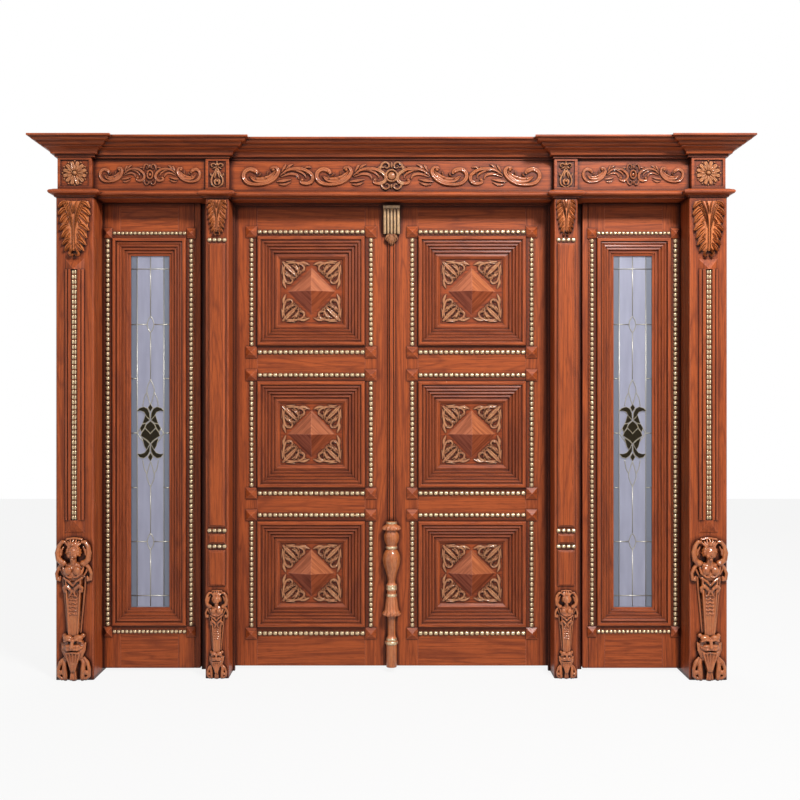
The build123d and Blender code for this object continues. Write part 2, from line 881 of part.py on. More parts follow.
def leaf_panels():
    """Three raised panels, each with a diamond pyramid, held in the openings."""
    with BuildPart() as panels:
        for z, height in zip(panel_centres, panel_heights):
            x = panel_centre_x
            half = panel_width / 2 - leaf_rebate
            rise = height / 2 - leaf_rebate
            back = leaf_back - 8.0
            board(x - half, x + half, z - rise, z + rise, back, field_front)
            with BuildSketch(front_plane(field_front)) as base:
                with Locations((x, z)):
                    Rectangle(diamond_half * math.sqrt(2), diamond_half * math.sqrt(2), rotation=45)
            loft(sections=[base.sketch.faces()[0], Vertex(x, field_front - diamond_height, z)])
    return panels


spandrel_strokes = (
    ((-8, -8, 12), (-46, -46, 26), (-92, -92, 10)),
    ((-22, -6, 12), (-78, -20, 26), (-140, -12, 8)),
    ((-6, -22, 12), (-20, -78, 26), (-12, -140, 8)),
)


def leaf_spandrels():
    """Carved leaf sprays in the four corners of each field."""
    half = panel_width / 2 - moulding_width
    with BuildPart() as sprays:
        for z, height in zip(panel_centres, panel_heights):
            rise = height / 2 - moulding_width
            for way in (-1, 1):
                for up in (-1, 1):
                    corner = (panel_centre_x + way * (half - 7), z + up * (rise - 7))
                    for points in spandrel_strokes:
                        stroke(points, field_front, 9, corner, (way, up))
    return sprays


def leaf_blocks():
    with BuildPart() as blocks:
        for x in bead_columns:
            for z in bead_rows:
                pyramid(x, z, block_size, block_size, leaf_front, block_height)
    return blocks


def leaf_beads():
    """Bead rods between the blocks: beside the panels and above and below each one."""
    gap = block_size / 2
    with BuildPart() as beads:
        for x in bead_columns:
            for high, low in zip(bead_rows[::2], bead_rows[1::2]):
                half_rod(x, x, low + gap, high - gap, bead_radius, leaf_front)
        inner, outer = bead_columns[0] + gap, bead_columns[1] - gap
        for z in bead_rows:
            half_rod(inner, outer, z, z, bead_radius, leaf_front)
    return beads


save_pair(leaf_frame(), "left_leaf_frame", "right_leaf_frame")
save_pair(leaf_mouldings(), "left_leaf_mouldings", "right_leaf_mouldings")
save_pair(leaf_panels(), "left_leaf_panels", "right_leaf_panels")
save_pair(leaf_spandrels(), "left_leaf_spandrels", "right_leaf_spandrels")
save_pair(leaf_blocks(), "left_leaf_blocks", "right_leaf_blocks")
save_pair(leaf_beads(), "left_leaf_beads", "right_leaf_beads")

# Meeting bead on the right leaf, which laps over the left leaf with a running gap behind it
astragal_half = 20.0
astragal_front = leaf_front - 16.0
console_low = 2348.0
console_high = 2498.0
baluster_low = 26.0
baluster_high = 1004.0
lap_gap = 2.0

with BuildPart() as astragal:
    with BuildSketch(Plane.XY.offset(baluster_low)) as section:
        with BuildLine():
            Polyline(
                (meeting_half_gap, leaf_front),
                (meeting_half_gap, leaf_front - lap_gap),
                (-astragal_half, leaf_front - lap_gap),
                (-astragal_half, leaf_front - 7),
                (-13, astragal_front + 3),
                (-10, leaf_front - 6),
                (-8, astragal_front),
                (8, astragal_front),
                (10, leaf_front - 6),
                (13, astragal_front + 3),
                (astragal_half, leaf_front - 7),
                (astragal_half, leaf_front),
                close=True,
            )
        make_face()
    extrude(section.sketch, amount=console_low - baluster_low)
save(astragal, "astragal")

# Fluted console at the head of the meeting bead, with a pendant leaf under it
flute_count = 5
with BuildPart() as console:
    console_half = 44.0
    console_reach = 56.0
    with BuildSketch(Plane.YZ.offset(-console_half)) as side_view:
        with BuildLine():
            Polyline(
                (leaf_front - lap_gap, console_high),
                (leaf_front - console_reach, console_high),
                (leaf_front - console_reach, console_high - 14),
                (leaf_front - console_reach + 8, console_high - 22),
                (leaf_front - 34, console_high - 84),
                (leaf_front - 26, console_low + 16),
                (leaf_front - 30, console_low + 8),
                (leaf_front - 22, console_low),
                (leaf_front - lap_gap, console_low),
                close=True,
            )
        make_face()
    extrude(side_view.sketch, amount=2 * console_half)
    board(meeting_half_gap, console_half, console_low, console_high, leaf_front, leaf_front - 4)
    pitch = 2 * console_half / flute_count
    for i in range(flute_count):
        x = -console_half + pitch * (i + 0.5)
        with BuildSketch(front_plane(leaf_front - console_reach - 2)) as flute:
            with Locations((x, (console_low + 16 + console_high - 26) / 2)):
                Rectangle(pitch * 0.62, console_high - console_low - 42)
        extrude(flute.sketch, amount=-(console_reach - 22), mode=Mode.SUBTRACT)
save(console, "console")

with BuildPart() as pendant_leaf:
    for way in (-1, 1):
        drop = ((4, -8, 14), (18, -22, 26), (10, -42, 26), (3, -60, 10))
        stroke(drop, astragal_front, 14, (0, console_low), (way, 1.0))
save(pendant_leaf, "pendant_leaf")

# Turned baluster on the meeting bead: it serves as the pull, with its back cut flat
baluster_axis = astragal_front - 18.0
baluster_profile = (
    (29, baluster_low),
    (29, 134),
    (36, 140),
    (36, 148),
    (31, 153),
    (31, 163),
    (24, 168),
    (24, 262),
    (46, 280),
    (46, 292),
    (34, 330),
    (24, 390),
    (29, 396),
    (24, 402),
    (29, 420),
    (29, 438),
    (18, 446),
    (20, 474),
    (34, 520),
    (50, 572),
    (48, 596),
    (28, 636),
    (34, 640),
    (34, 652),
    (22, 664),
    (38, 690),
    (41, 716),
    (34, 742),
    (47, 756),
    (47, 772),
    (30, 786),
    (30, 798),
    (0, 806),
)
with BuildPart() as baluster:
    with BuildSketch(Plane.XZ) as turning:
        with BuildLine():
            Polyline((0, baluster_low), *baluster_profile, close=True)
        make_face()
    turned = revolve(turning.sketch, axis=Axis.Z, revolution_arc=360, mode=Mode.PRIVATE)
    add(turned.moved(Location((0, baluster_axis, 0))))
    split(bisect_by=Plane.XZ.offset(-astragal_front), keep=Keep.TOP)
save(baluster, "baluster")


# Butt hinges: fixed plates on the posts, moving plates on the leaves and loose pins
def hinge_knuckles(z, pieces, bore):
    """Knuckle barrels over the given stretches of one hinge, each bored for the pin."""
    for low, high in pieces:
        with BuildSketch(Plane.XY.offset(z + low)) as ring:
            with Locations((hinge_x, hinge_y)):
                Circle(knuckle_radius)
        extrude(ring.sketch, amount=high - low)
    with BuildSketch(Plane.XY.offset(z - hinge_length / 2)) as hole:
        with Locations((hinge_x, hinge_y)):
            Circle(bore)
    extrude(hole.sketch, amount=hinge_length, mode=Mode.SUBTRACT)


half_length = hinge_length / 2
third = hinge_length / 6
fixed_stretches = ((-half_length, -third), (third, half_length))
moving_stretches = ((-third + 0.4, third - 0.4),)
plate_front = frame_back - plate_depth


def hinge_side(wood, face, stretches, bore):
    """The plates and barrels of every hinge on one side of the gap."""
    for z in hinge_heights:
        board(wood, face, z - half_length, z + half_length, frame_back, plate_front)
        for low, high in stretches:
            board(wood, face, z + low, z + high, hinge_y, frame_back)
        hinge_knuckles(z, stretches, bore)


with BuildPart() as hinge_fixed_plates:
    face = opening_half - 1.0
    hinge_side(face + hinge_plate, face, fixed_stretches, pin_radius)
    mirror(about=Plane.YZ)
save(hinge_fixed_plates, "hinge_fixed_plates")

with BuildPart() as hinge_moving_plates:
    face = leaf_edge + 1.0
    hinge_side(face - hinge_plate, face, moving_stretches, pin_radius + running_clearance)
save_pair(hinge_moving_plates, "left_hinge_plates", "right_hinge_plates")

with BuildPart() as hinge_pins:
    for z in hinge_heights:
        with BuildSketch(Plane.XY.offset(z - half_length)) as section:
            with Locations((hinge_x, hinge_y)):
                Circle(pin_radius)
        extrude(section.sketch, amount=hinge_length)
        with BuildSketch(Plane.XY.offset(z + half_length)) as head:
            with Locations((hinge_x, hinge_y)):
                Circle(knuckle_radius - 1)
        extrude(head.sketch, amount=4)
    mirror(about=Plane.YZ)
save(hinge_pins, "hinge_pins")
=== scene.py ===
import bpy
import bmesh
import math
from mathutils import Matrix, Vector


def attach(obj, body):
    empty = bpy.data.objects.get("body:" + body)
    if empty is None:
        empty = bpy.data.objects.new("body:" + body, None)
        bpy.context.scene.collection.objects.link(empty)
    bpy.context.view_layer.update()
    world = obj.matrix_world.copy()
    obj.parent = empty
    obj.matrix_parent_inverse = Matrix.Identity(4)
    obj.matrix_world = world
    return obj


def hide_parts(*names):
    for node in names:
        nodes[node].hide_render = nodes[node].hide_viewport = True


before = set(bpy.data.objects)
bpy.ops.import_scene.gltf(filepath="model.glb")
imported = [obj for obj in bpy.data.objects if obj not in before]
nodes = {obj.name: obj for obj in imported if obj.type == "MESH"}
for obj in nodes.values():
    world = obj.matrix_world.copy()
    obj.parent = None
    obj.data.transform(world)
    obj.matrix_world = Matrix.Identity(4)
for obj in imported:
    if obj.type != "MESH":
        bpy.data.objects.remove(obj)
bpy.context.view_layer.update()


# Studio: a pale floor and a white background, a key lamp at the upper right, a weak fill at
# the left and a lamp behind. The camera stands level in front of the door set.
scene = bpy.context.scene
scene.view_settings.view_transform = "Standard"
eye_distance, eye_height = 5.2725, 1.482

camera_data = bpy.data.cameras.new("camera")
camera_data.lens = 45.0
camera_data.sensor_width = 36.0
camera_data.shift_x = 0.0106
camera_data.shift_y = -0.00625
camera_data.clip_end = 60.0
camera = bpy.data.objects.new("camera", camera_data)
camera.location = (0.0, -eye_distance, eye_height)
camera.rotation_euler = (math.radians(90), 0.0, 0.0)
scene.collection.objects.link(camera)
scene.camera = camera


door_middle = Vector((0.0, 0.0, 1.3))


def studio_lamp(name, place, width, power):
    """A square lamp, width metres across, aimed at the middle of the door set."""
    data = bpy.data.lights.new(name, "AREA")
    data.shape = "SQUARE"
    data.size = width
    data.energy = power
    lamp = bpy.data.objects.new(name, data)
    lamp.location = place
    lamp.rotation_euler = (door_middle - Vector(place)).to_track_quat("-Z", "Y").to_euler()
    scene.collection.objects.link(lamp)


studio_lamp("key", (1.9, -4.2, 5.5), 1.0, 530.0)
studio_lamp("fill", (-3.8, -4.6, 2.0), 3.0, 16.0)
studio_lamp("back", (0.0, 4.2, 3.6), 3.0, 90.0)


def white_rays(tree):
    """One for the rays that show the studio as white: seen, mirrored or through glass."""
    rays = tree.nodes.new("ShaderNodeLightPath")
    share = rays.outputs["Is Camera Ray"]
    for kind in ("Is Glossy Ray", "Is Transmission Ray"):
        either = tree.nodes.new("ShaderNodeMath")
        either.operation = "MAXIMUM"
        tree.links.new(share, either.inputs[0])
        tree.links.new(rays.outputs[kind], either.inputs[1])
        share = either.outputs[0]
    return share


air_tint, air_strength = (1.0, 0.98, 0.96, 1), 0.20
world = bpy.data.worlds.new("studio_air")
scene.world = world
world.use_nodes = True
tree = world.node_tree
tree.nodes.clear()
lit = tree.nodes.new("ShaderNodeBackground")
lit.inputs["Color"].default_value = air_tint
lit.inputs["Strength"].default_value = air_strength
seen = tree.nodes.new("ShaderNodeBackground")
seen.inputs["Color"].default_value = (1, 1, 1, 1)
seen.inputs["Strength"].default_value = 1.0
choose = tree.nodes.new("ShaderNodeMixShader")
tree.links.new(white_rays(tree), choose.inputs[0])
tree.links.new(lit.outputs[0], choose.inputs[1])
tree.links.new(seen.outputs[0], choose.inputs[2])
tree.links.new(choose.outputs[0], tree.nodes.new("ShaderNodeOutputWorld").inputs["Surface"])

floor_half, floor_tone, floor_white_share = 9, (0.58, 0.58, 0.57, 1), 0.88
floor_mesh = bpy.data.meshes.new("floor")
floor_corners = [(-floor_half, -floor_half, 0), (floor_half, -floor_half, 0),
                 (floor_half, floor_half, 0), (-floor_half, floor_half, 0)]
floor_mesh.from_pydata(floor_corners, [], [(0, 1, 2, 3)])
floor = bpy.data.objects.new("floor", floor_mesh)
scene.collection.objects.link(floor)
floor_paint = bpy.data.materials.new("floor_paint")
floor_paint.use_nodes = True
floor_mesh.materials.append(floor_paint)
floor_tree = floor_paint.node_tree
floor_shader = floor_tree.nodes["Principled BSDF"]
floor_shader.inputs["Base Color"].default_value = floor_tone
floor_shader.inputs["Roughness"].default_value = 0.7
floor_share = floor_tree.nodes.new("ShaderNodeMath")
floor_share.operation = "MULTIPLY"
floor_share.inputs[1].default_value = floor_white_share
floor_white = floor_tree.nodes.new("ShaderNodeEmission")
floor_white.inputs["Strength"].default_value = 1.0
floor_mix = floor_tree.nodes.new("ShaderNodeMixShader")
floor_tree.links.new(white_rays(floor_tree), floor_share.inputs[0])
floor_tree.links.new(floor_share.outputs[0], floor_mix.inputs[0])
floor_tree.links.new(floor_shader.outputs[0], floor_mix.inputs[1])
floor_tree.links.new(floor_white.outputs[0], floor_mix.inputs[2])
floor_tree.links.new(floor_mix.outputs[0], floor_tree.nodes["Material Output"].inputs["Surface"])


# Joinery: posts, rails, panels and mouldings of open-grained hardwood, stained red brown
# and lacquered. The grain follows each board. A near-black patina sits in the recesses and
# also paints shade there, and the arrises are rubbed back to a lighter tone that is partly
# a painted highlight.
wood_specular, coat_roughness = 0.20, 0.10
arris_radius, recess_reach, ring_count = 0.003, 0.03, 17.0
# A near-black patina that also paints shade in the hollows, and a gold wash that also paints highlights on
# proud parts.
patina_and_shade, gold_wash_and_highlight = (0.024, 0.004, 0.003, 1), (0.66, 0.40, 0.19, 1)


def lacquered_wood(name, grain_axis, dark, light, gilt_and_highlight=0.0, polish=0.03, turned=0.0, patina_and_shade_span=(0.96, 0.64)):
    """Stained hardwood whose grain runs along X (0) or Z (2), or turned from there in degrees.

    Near-black patina, which also paints shade, starts at the first openness of the span in the last argument
    and is full at the second.
    """
    paint = bpy.data.materials.new(name)
    paint.use_nodes = True
    tree = paint.node_tree
    new, link = tree.nodes.new, tree.links.new
    shader = tree.nodes["Principled BSDF"]
    shader.inputs["Specular IOR Level"].default_value = wood_specular
    shader.inputs["Coat Weight"].default_value = polish
    shader.inputs["Coat Roughness"].default_value = coat_roughness
    place = new("ShaderNodeTexCoord")
    laid = new("ShaderNodeMapping")
    laid.inputs["Rotation"].default_value = (0.0, math.radians(turned), 0.0)
    link(place.outputs["Object"], laid.inputs["Vector"])

    def stretched_noise(across, along, detail, distortion=0.0):
        scale = [across, across, across]
        scale[grain_axis] = along
        mapping = new("ShaderNodeMapping")
        mapping.inputs["Scale"].default_value = scale
        noise = new("ShaderNodeTexNoise")
        noise.inputs["Scale"].default_value = 1.0
        noise.inputs["Detail"].default_value = detail
        noise.inputs["Distortion"].default_value = distortion
        link(laid.outputs[0], mapping.inputs["Vector"])
        link(mapping.outputs[0], noise.inputs["Vector"])
        return noise.outputs["Fac"]

    figure = stretched_noise(8.0, 0.8, 2.0, 0.5)
    streaks = stretched_noise(150.0, 3.5, 4.0)
    pores = stretched_noise(620.0, 16.0, 2.0)

    def mixed(first, second, share, kind="MIX"):
        mix = new("ShaderNodeMix")
        mix.data_type = "RGBA"
        mix.blend_type = kind
        for value, socket in ((share, mix.inputs[0]), (first, mix.inputs[6]), (second, mix.inputs[7])):
            if hasattr(value, "is_linked"):
                link(value, socket)
            else:
                socket.default_value = value
        return mix.outputs[2]

    def ramp(source, low, high, at_low=0.0, at_high=1.0):
        span = new("ShaderNodeMapRange")
        span.inputs["From Min"].default_value = low
        span.inputs["From Max"].default_value = high
        span.inputs["To Min"].default_value = at_low
        span.inputs["To Max"].default_value = at_high
        link(source, span.inputs["Value"])
        return span.outputs[0]

    rings = new("ShaderNodeMath")
    rings.operation = "PINGPONG"
    rings.inputs[1].default_value = 1.0
    link(ramp(figure, 0.0, 1.0, 0.0, ring_count), rings.inputs[0])
    colour = mixed(light, dark, ramp(rings.outputs[0], 0.5, 1.0, 0.0, 0.5))
    colour = mixed(colour, dark, ramp(streaks, 0.42, 0.66, 0.0, 0.6))
    pore_stain = [c * 0.3 for c in dark[:3]] + [1]
    colour = mixed(colour, pore_stain, ramp(pores, 0.56, 0.68, 0.0, 0.6))

    rounded = new("ShaderNodeBevel")
    rounded.samples = 4
    rounded.inputs["Radius"].default_value = arris_radius
    flat = new("ShaderNodeNewGeometry")
    turn = new("ShaderNodeVectorMath")
    turn.operation = "DOT_PRODUCT"
    link(rounded.outputs[0], turn.inputs[0])
    link(flat.outputs["True Normal"], turn.inputs[1])
    # Painted highlight: rounded arrises on open faces turn lighter, as wear and as light catching the edge.
    edge_wear_and_highlight = ramp(turn.outputs["Value"], 0.995, 0.92)
    rubbed_and_highlight_tone = [min(1.0, c * 1.5 + 0.10) for c in light[:3]] + [1]

    hollow = new("ShaderNodeAmbientOcclusion")
    hollow.samples = 6
    hollow.inputs["Distance"].default_value = recess_reach
    arris_wear_and_highlight = new("ShaderNodeMath")
    arris_wear_and_highlight.operation = "MULTIPLY"
    link(edge_wear_and_highlight, arris_wear_and_highlight.inputs[0])
    link(ramp(hollow.outputs["AO"], 0.78, 0.94, 0.0, 0.6), arris_wear_and_highlight.inputs[1])
    colour = mixed(colour, rubbed_and_highlight_tone, arris_wear_and_highlight.outputs[0])
    # Painted shade: near-black patina fills the hollows, strongest where they are deepest.
    colour = mixed(colour, patina_and_shade, ramp(hollow.outputs["AO"], *patina_and_shade_span, 0.0, 0.95))
    # Painted highlight: gold on the proud, open parts, as rubbed gilding and as light.
    if gilt_and_highlight:
        proud_gilt_and_highlight = ramp(hollow.outputs["AO"], 0.72, 0.97, 0.0, gilt_and_highlight)
        patchy = stretched_noise(60.0, 60.0, 3.0)
        blend = new("ShaderNodeMath")
        blend.operation = "MULTIPLY"
        link(proud_gilt_and_highlight, blend.inputs[0])
        link(ramp(patchy, 0.35, 0.6), blend.inputs[1])
        colour = mixed(colour, gold_wash_and_highlight, blend.outputs[0])
    link(colour, shader.inputs["Base Color"])
    link(ramp(streaks, 0.3, 0.7, 0.34, 0.50), shader.inputs["Roughness"])
    bump = new("ShaderNodeBump")
    bump.inputs["Strength"].default_value = 0.25
    bump.inputs["Distance"].default_value = 0.0006
    link(pores, bump.inputs["Height"])
    link(rounded.outputs[0], bump.inputs["Normal"])
    link(bump.outputs[0], shader.inputs["Normal"])
    return paint


stain_dark = (0.12, 0.021, 0.008, 1)
stain_light = (0.36, 0.076, 0.019, 1)
upright_wood = lacquered_wood("upright_wood", 2, stain_dark, stain_light)
level_wood = lacquered_wood("level_wood", 0, stain_dark, stain_light)
panel_wood = lacquered_wood("panel_wood", 0, (0.08, 0.013, 0.005, 1), (0.34, 0.066, 0.016, 1))
# Diamond facets: the upper two are toned lighter and the lower two darker, as painted light and shade. The
# grain turns with each facet.
veneer_light_and_shade = (
    ("upper_left_lit_veneer", (0.15, 0.040, 0.020, 1), (0.42, 0.135, 0.068, 1), 45),
    ("upper_right_lit_veneer", (0.16, 0.036, 0.014, 1), (0.45, 0.135, 0.052, 1), -45),
    ("lower_left_shaded_veneer", (0.09, 0.022, 0.014, 1), (0.26, 0.070, 0.040, 1), -45),
    ("lower_right_shaded_veneer", (0.10, 0.020, 0.009, 1), (0.30, 0.070, 0.026, 1), 45),
)
veneer_specular = 0.06
lit_and_shaded_veneers = [lacquered_wood(name, 0, dark, light, turned=turned) for name, dark, light, turned in veneer_light_and_shade]
for paint in lit_and_shaded_veneers:
    shader = paint.node_tree.nodes["Principled BSDF"]
    shader.inputs["Specular IOR Level"].default_value = veneer_specular
    shader.inputs["Coat Weight"].default_value = 0.0


def finish_node(name, *paints):
    """Gives a CAD node its materials in place of those it came with."""
    mesh = nodes[name].data
    mesh.materials.clear()
    for paint in paints:
        mesh.materials.append(paint)


for name in ("outer_post_left", "outer_post_right", "inner_post_left", "inner_post_right",
             "outer_strips", "outer_pyramid_blocks", "inner_pilaster_panels", "astragal"):
    finish_node(name, upright_wood)
for name in ("head_beam", "frieze_boards", "outer_frieze_blocks", "inner_frieze_blocks",
             "cornice", "string_moulding", "sidelight_blocks", "left_leaf_blocks",
             "right_leaf_blocks"):
    finish_node(name, level_wood)
facet_lean_least, facet_lean_most = 0.2, 0.5
for name in ("left_leaf_panels", "right_leaf_panels"):
    finish_node(name, panel_wood, *lit_and_shaded_veneers)
    # Each facet takes its tone by the way it leans: lighter upper facets and darker lower ones, as painted
    # light and shade.
    for face in nodes[name].data.polygons:
        lean = face.normal
        if all(facet_lean_least < abs(tilt) < facet_lean_most for tilt in (lean.x, lean.z)):
            face.material_index = 1 + (lean.x > 0) + 2 * (lean.z < 0)


def grain_by_member(name, rectangles, inset):
    """Rails take the level grain and stiles the upright grain, split at each mitre."""
    mesh = nodes[name].data
    finish_node(name, upright_wood, level_wood)
    for face in mesh.polygons:
        at = face.center
        x, z = abs(at.x), at.z
        for middle_x, middle_z, width, height in rectangles:
            past_side = abs(x - middle_x) - width / 2
            past_end = abs(z - middle_z) - height / 2
            if past_end > past_side and abs(past_end) < inset:
                face.material_index = 1


leaf_middle, panel_wide = 0.4335, 0.581
leaf_panels = ((2.043, 0.590), (1.270, 0.574), (0.517, 0.570))
leaf_panels_at = [(leaf_middle, middle, panel_wide, tall) for middle, tall in leaf_panels]
light_centre = 1.2995
light_opening_at = [(light_centre, 1.2845, 0.397, 2.081)]
leaf_moulding_wide, light_moulding_wide = 0.14, 0.12
for side in ("left", "right"):
    grain_by_member(f"{side}_leaf_mouldings", leaf_panels_at, leaf_moulding_wide)
    finish_node(f"{side}_leaf_frame", upright_wood)
    grain_by_member(f"sidelight_moulding_{side}", light_opening_at, light_moulding_wide)
    finish_node(f"sidelight_frame_{side}", upright_wood)


# Sidelight panes: frosted glass sealed behind the moulding, with a darker strip down each
# side. Patinated metal cames lie on its face. Satin steel butt hinges sit behind the leaves.
frost_dark, frost_light, border_tint = (0.27, 0.27, 0.36, 1), (0.46, 0.47, 0.58, 1), (0.19, 0.205, 0.26, 1)
border_from = 0.0715
frosted = bpy.data.materials.new("frosted_glass")
frosted.use_nodes = True
new, link = frosted.node_tree.nodes.new, frosted.node_tree.links.new
shader = frosted.node_tree.nodes["Principled BSDF"]
shader.inputs["Transmission Weight"].default_value = 0.55
shader.inputs["IOR"].default_value = 1.45
cloud = new("ShaderNodeTexNoise")
cloud.inputs["Scale"].default_value = 9.0
tint = new("ShaderNodeValToRGB")
tint.color_ramp.elements[0].color = frost_dark
tint.color_ramp.elements[1].color = frost_light
link(cloud.outputs["Fac"], tint.inputs["Fac"])
spot = new("ShaderNodeTexCoord")
across = new("ShaderNodeSeparateXYZ")
link(spot.outputs["Object"], across.inputs[0])
off_centre = across.outputs["X"]
for kind, amount in (("ABSOLUTE", 0.0), ("SUBTRACT", light_centre), ("ABSOLUTE", 0.0),
                     ("GREATER_THAN", border_from)):
    step = new("ShaderNodeMath")
    step.operation = kind
    step.inputs[1].default_value = amount
    link(off_centre, step.inputs[0])
    off_centre = step.outputs[0]
border = new("ShaderNodeMix")
border.data_type = "RGBA"
border.inputs[7].default_value = border_tint
link(off_centre, border.inputs[0])
link(tint.outputs[0], border.inputs[6])
link(border.outputs[2], shader.inputs["Base Color"])
grit = new("ShaderNodeTexNoise")
grit.inputs["Scale"].default_value = 900.0
uneven = new("ShaderNodeMapRange")
uneven.inputs["To Min"].default_value = 0.35
uneven.inputs["To Max"].default_value = 0.6
link(grit.outputs["Fac"], uneven.inputs["Value"])
link(uneven.outputs[0], shader.inputs["Roughness"])


def aged_metal(name, dark, light, low, high, scale):
    """Metal whose tone and gloss vary with wear."""
    paint = bpy.data.materials.new(name)
    paint.use_nodes = True
    tree = paint.node_tree
    shader = tree.nodes["Principled BSDF"]
    shader.inputs["Metallic"].default_value = 0.85
    wear = tree.nodes.new("ShaderNodeTexNoise")
    wear.inputs["Scale"].default_value = scale
    wear.inputs["Detail"].default_value = 4.0
    tone = tree.nodes.new("ShaderNodeValToRGB")
    tone.color_ramp.elements[0].position = 0.35
    tone.color_ramp.elements[0].color = dark
    tone.color_ramp.elements[1].position = 0.65
    tone.color_ramp.elements[1].color = light
    gloss = tree.nodes.new("ShaderNodeMapRange")
    gloss.inputs["To Min"].default_value = low
    gloss.inputs["To Max"].default_value = high
    tree.links.new(wear.outputs["Fac"], tone.inputs["Fac"])
    tree.links.new(wear.outputs["Fac"], gloss.inputs["Value"])
    tree.links.new(tone.outputs[0], shader.inputs["Base Color"])
    tree.links.new(gloss.outputs[0], shader.inputs["Roughness"])
    return paint


came_metal = aged_metal("came_metal", (0.26, 0.25, 0.20, 1), (0.66, 0.63, 0.54, 1), 0.30, 0.50, 120.0)
hinge_steel = aged_metal("hinge_steel", (0.38, 0.37, 0.35, 1), (0.56, 0.55, 0.52, 1), 0.28, 0.42, 200.0)
for side in ("left", "right"):
    finish_node(f"sidelight_glass_{side}", frosted)
    finish_node(f"sidelight_cames_{side}", came_metal)
    finish_node(f"{side}_hinge_plates", hinge_steel)
finish_node("hinge_fixed_plates", hinge_steel)
finish_node("hinge_pins", hinge_steel)


# Bead mouldings: strings of turned wooden beads round the panels and down the pilasters,
# gilded in champagne gold. Each bead is a squat ball with a groove round its middle.
bead_gold = aged_metal("bead_gold", (0.36, 0.23, 0.115, 1), (0.76, 0.60, 0.39, 1), 0.20, 0.34, 60.0)
bead_gold.node_tree.nodes["Principled BSDF"].inputs["Metallic"].default_value = 0.6


def finished_mesh(name, shape, crisp_turn=None):
    """The shape as a mesh, its faces turned outwards and its edges sharp past crisp_turn."""
    bmesh.ops.recalc_face_normals(shape, faces=shape.faces)
    if crisp_turn:
        for edge in shape.edges:
            edge.smooth = edge.calc_face_angle(0.0) < crisp_turn
    mesh = bpy.data.meshes.new(name)
    shape.to_mesh(mesh)
    shape.free()
    return mesh


def shown_piece(name, mesh, paint, body, slot, *stands_for):
    """Puts a piece in the scene, on its body, in place of the nodes named. The slot is not used."""
    mesh.materials.append(paint)
    piece = bpy.data.objects.new(name, mesh)
    scene.collection.objects.link(piece)
    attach(piece, body)
    if stands_for:
        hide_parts(*stands_for)
    return piece


def add_bead(shape, centre, along, radius, half_length):
    """A bead turned about its own string, with a waist in the middle and narrow ends."""
    rings, sides = 9, 10
    groove, groove_half, end_share = 0.12, 0.16, 0.18
    side = Vector((0, 1, 0))
    other = along.cross(side)
    loops = []
    for i in range(rings):
        t = -1 + 2 * i / (rings - 1)
        swell = math.sqrt(max(0.0, 1 - t * t)) ** 0.7 * (1 - groove * math.exp(-(t / groove_half) ** 2))
        reach = radius * max(swell, end_share)
        loop = []
        for j in range(sides):
            turn = 2 * math.pi * j / sides
            out = side * math.cos(turn) + other * math.sin(turn)
            loop.append(shape.verts.new(centre + along * (t * half_length) + out * reach))
        loops.append(loop)
    for low, high in zip(loops, loops[1:]):
        for j in range(sides):
            face = shape.faces.new((low[j], low[(j + 1) % sides], high[(j + 1) % sides], high[j]))
            face.smooth = True
    shape.faces.new(loops[0][::-1])
    shape.faces.new(loops[-1])


def bead_string(shape, start, end, radius, pitch):
    """Whole beads from start to end, at about the pitch."""
    run = Vector(end) - Vector(start)
    count = max(1, round(run.length / pitch))
    along = run.normalized()
    step = run.length / count
    for i in range(count):
        add_bead(shape, Vector(start) + along * (step * (i + 0.5)), along, radius, step * 0.45)


def bead_piece(name, strings, body, node):
    shape = bmesh.new()
    for start, end, radius, pitch in strings:
        bead_string(shape, start, end, radius, pitch)
    return shown_piece(name, finished_mesh(name, shape), bead_gold, body, "gilt_beads", node)


leaf_front = 0.1225
leaf_bead_rows = (2.361, 1.713, 1.589, 0.952, 0.834, 0.197)
leaf_bead_columns = (0.1115, 0.7555)
leaf_bead, leaf_pitch, block_gap = 0.0122, 0.0272, 0.031
for side, way in (("left", -1), ("right", 1)):
    strings = []
    for x in leaf_bead_columns:
        for high, low in zip(leaf_bead_rows[::2], leaf_bead_rows[1::2]):
            strings.append(((way * x, leaf_front, low + block_gap), (way * x, leaf_front, high - block_gap),
                            leaf_bead, leaf_pitch))
    inner, outer = leaf_bead_columns[0] + block_gap, leaf_bead_columns[1] - block_gap
    for z in leaf_bead_rows:
        strings.append(((way * inner, leaf_front, z), (way * outer, leaf_front, z), leaf_bead, leaf_pitch))
    bead_piece(f"{side}_leaf_bead_strings", strings, f"{side}_leaf", f"{side}_leaf_beads")

light_front = 0.0975
light_bead_rows = (2.350, 0.212)
light_bead_columns = (1.0755, 1.5235)
light_gap, light_side_gap = 0.0285, 0.025
column_bead, column_pitch, row_bead, row_pitch = 0.0120, 0.0265, 0.0100, 0.0216
for side, way in (("left", -1), ("right", 1)):
    strings = []
    for x in light_bead_columns:
        strings.append(((way * x, light_front, light_bead_rows[1] + light_gap),
                        (way * x, light_front, light_bead_rows[0] - light_gap), column_bead, column_pitch))
    inner, outer = light_bead_columns[0] + light_side_gap, light_bead_columns[1] - light_side_gap
    for z in light_bead_rows:
        strings.append(((way * inner, light_front, z), (way * outer, light_front, z), row_bead, row_pitch))
    bead_piece(f"sidelight_bead_strings_{side}", strings, "frame", f"sidelight_beads_{side}")

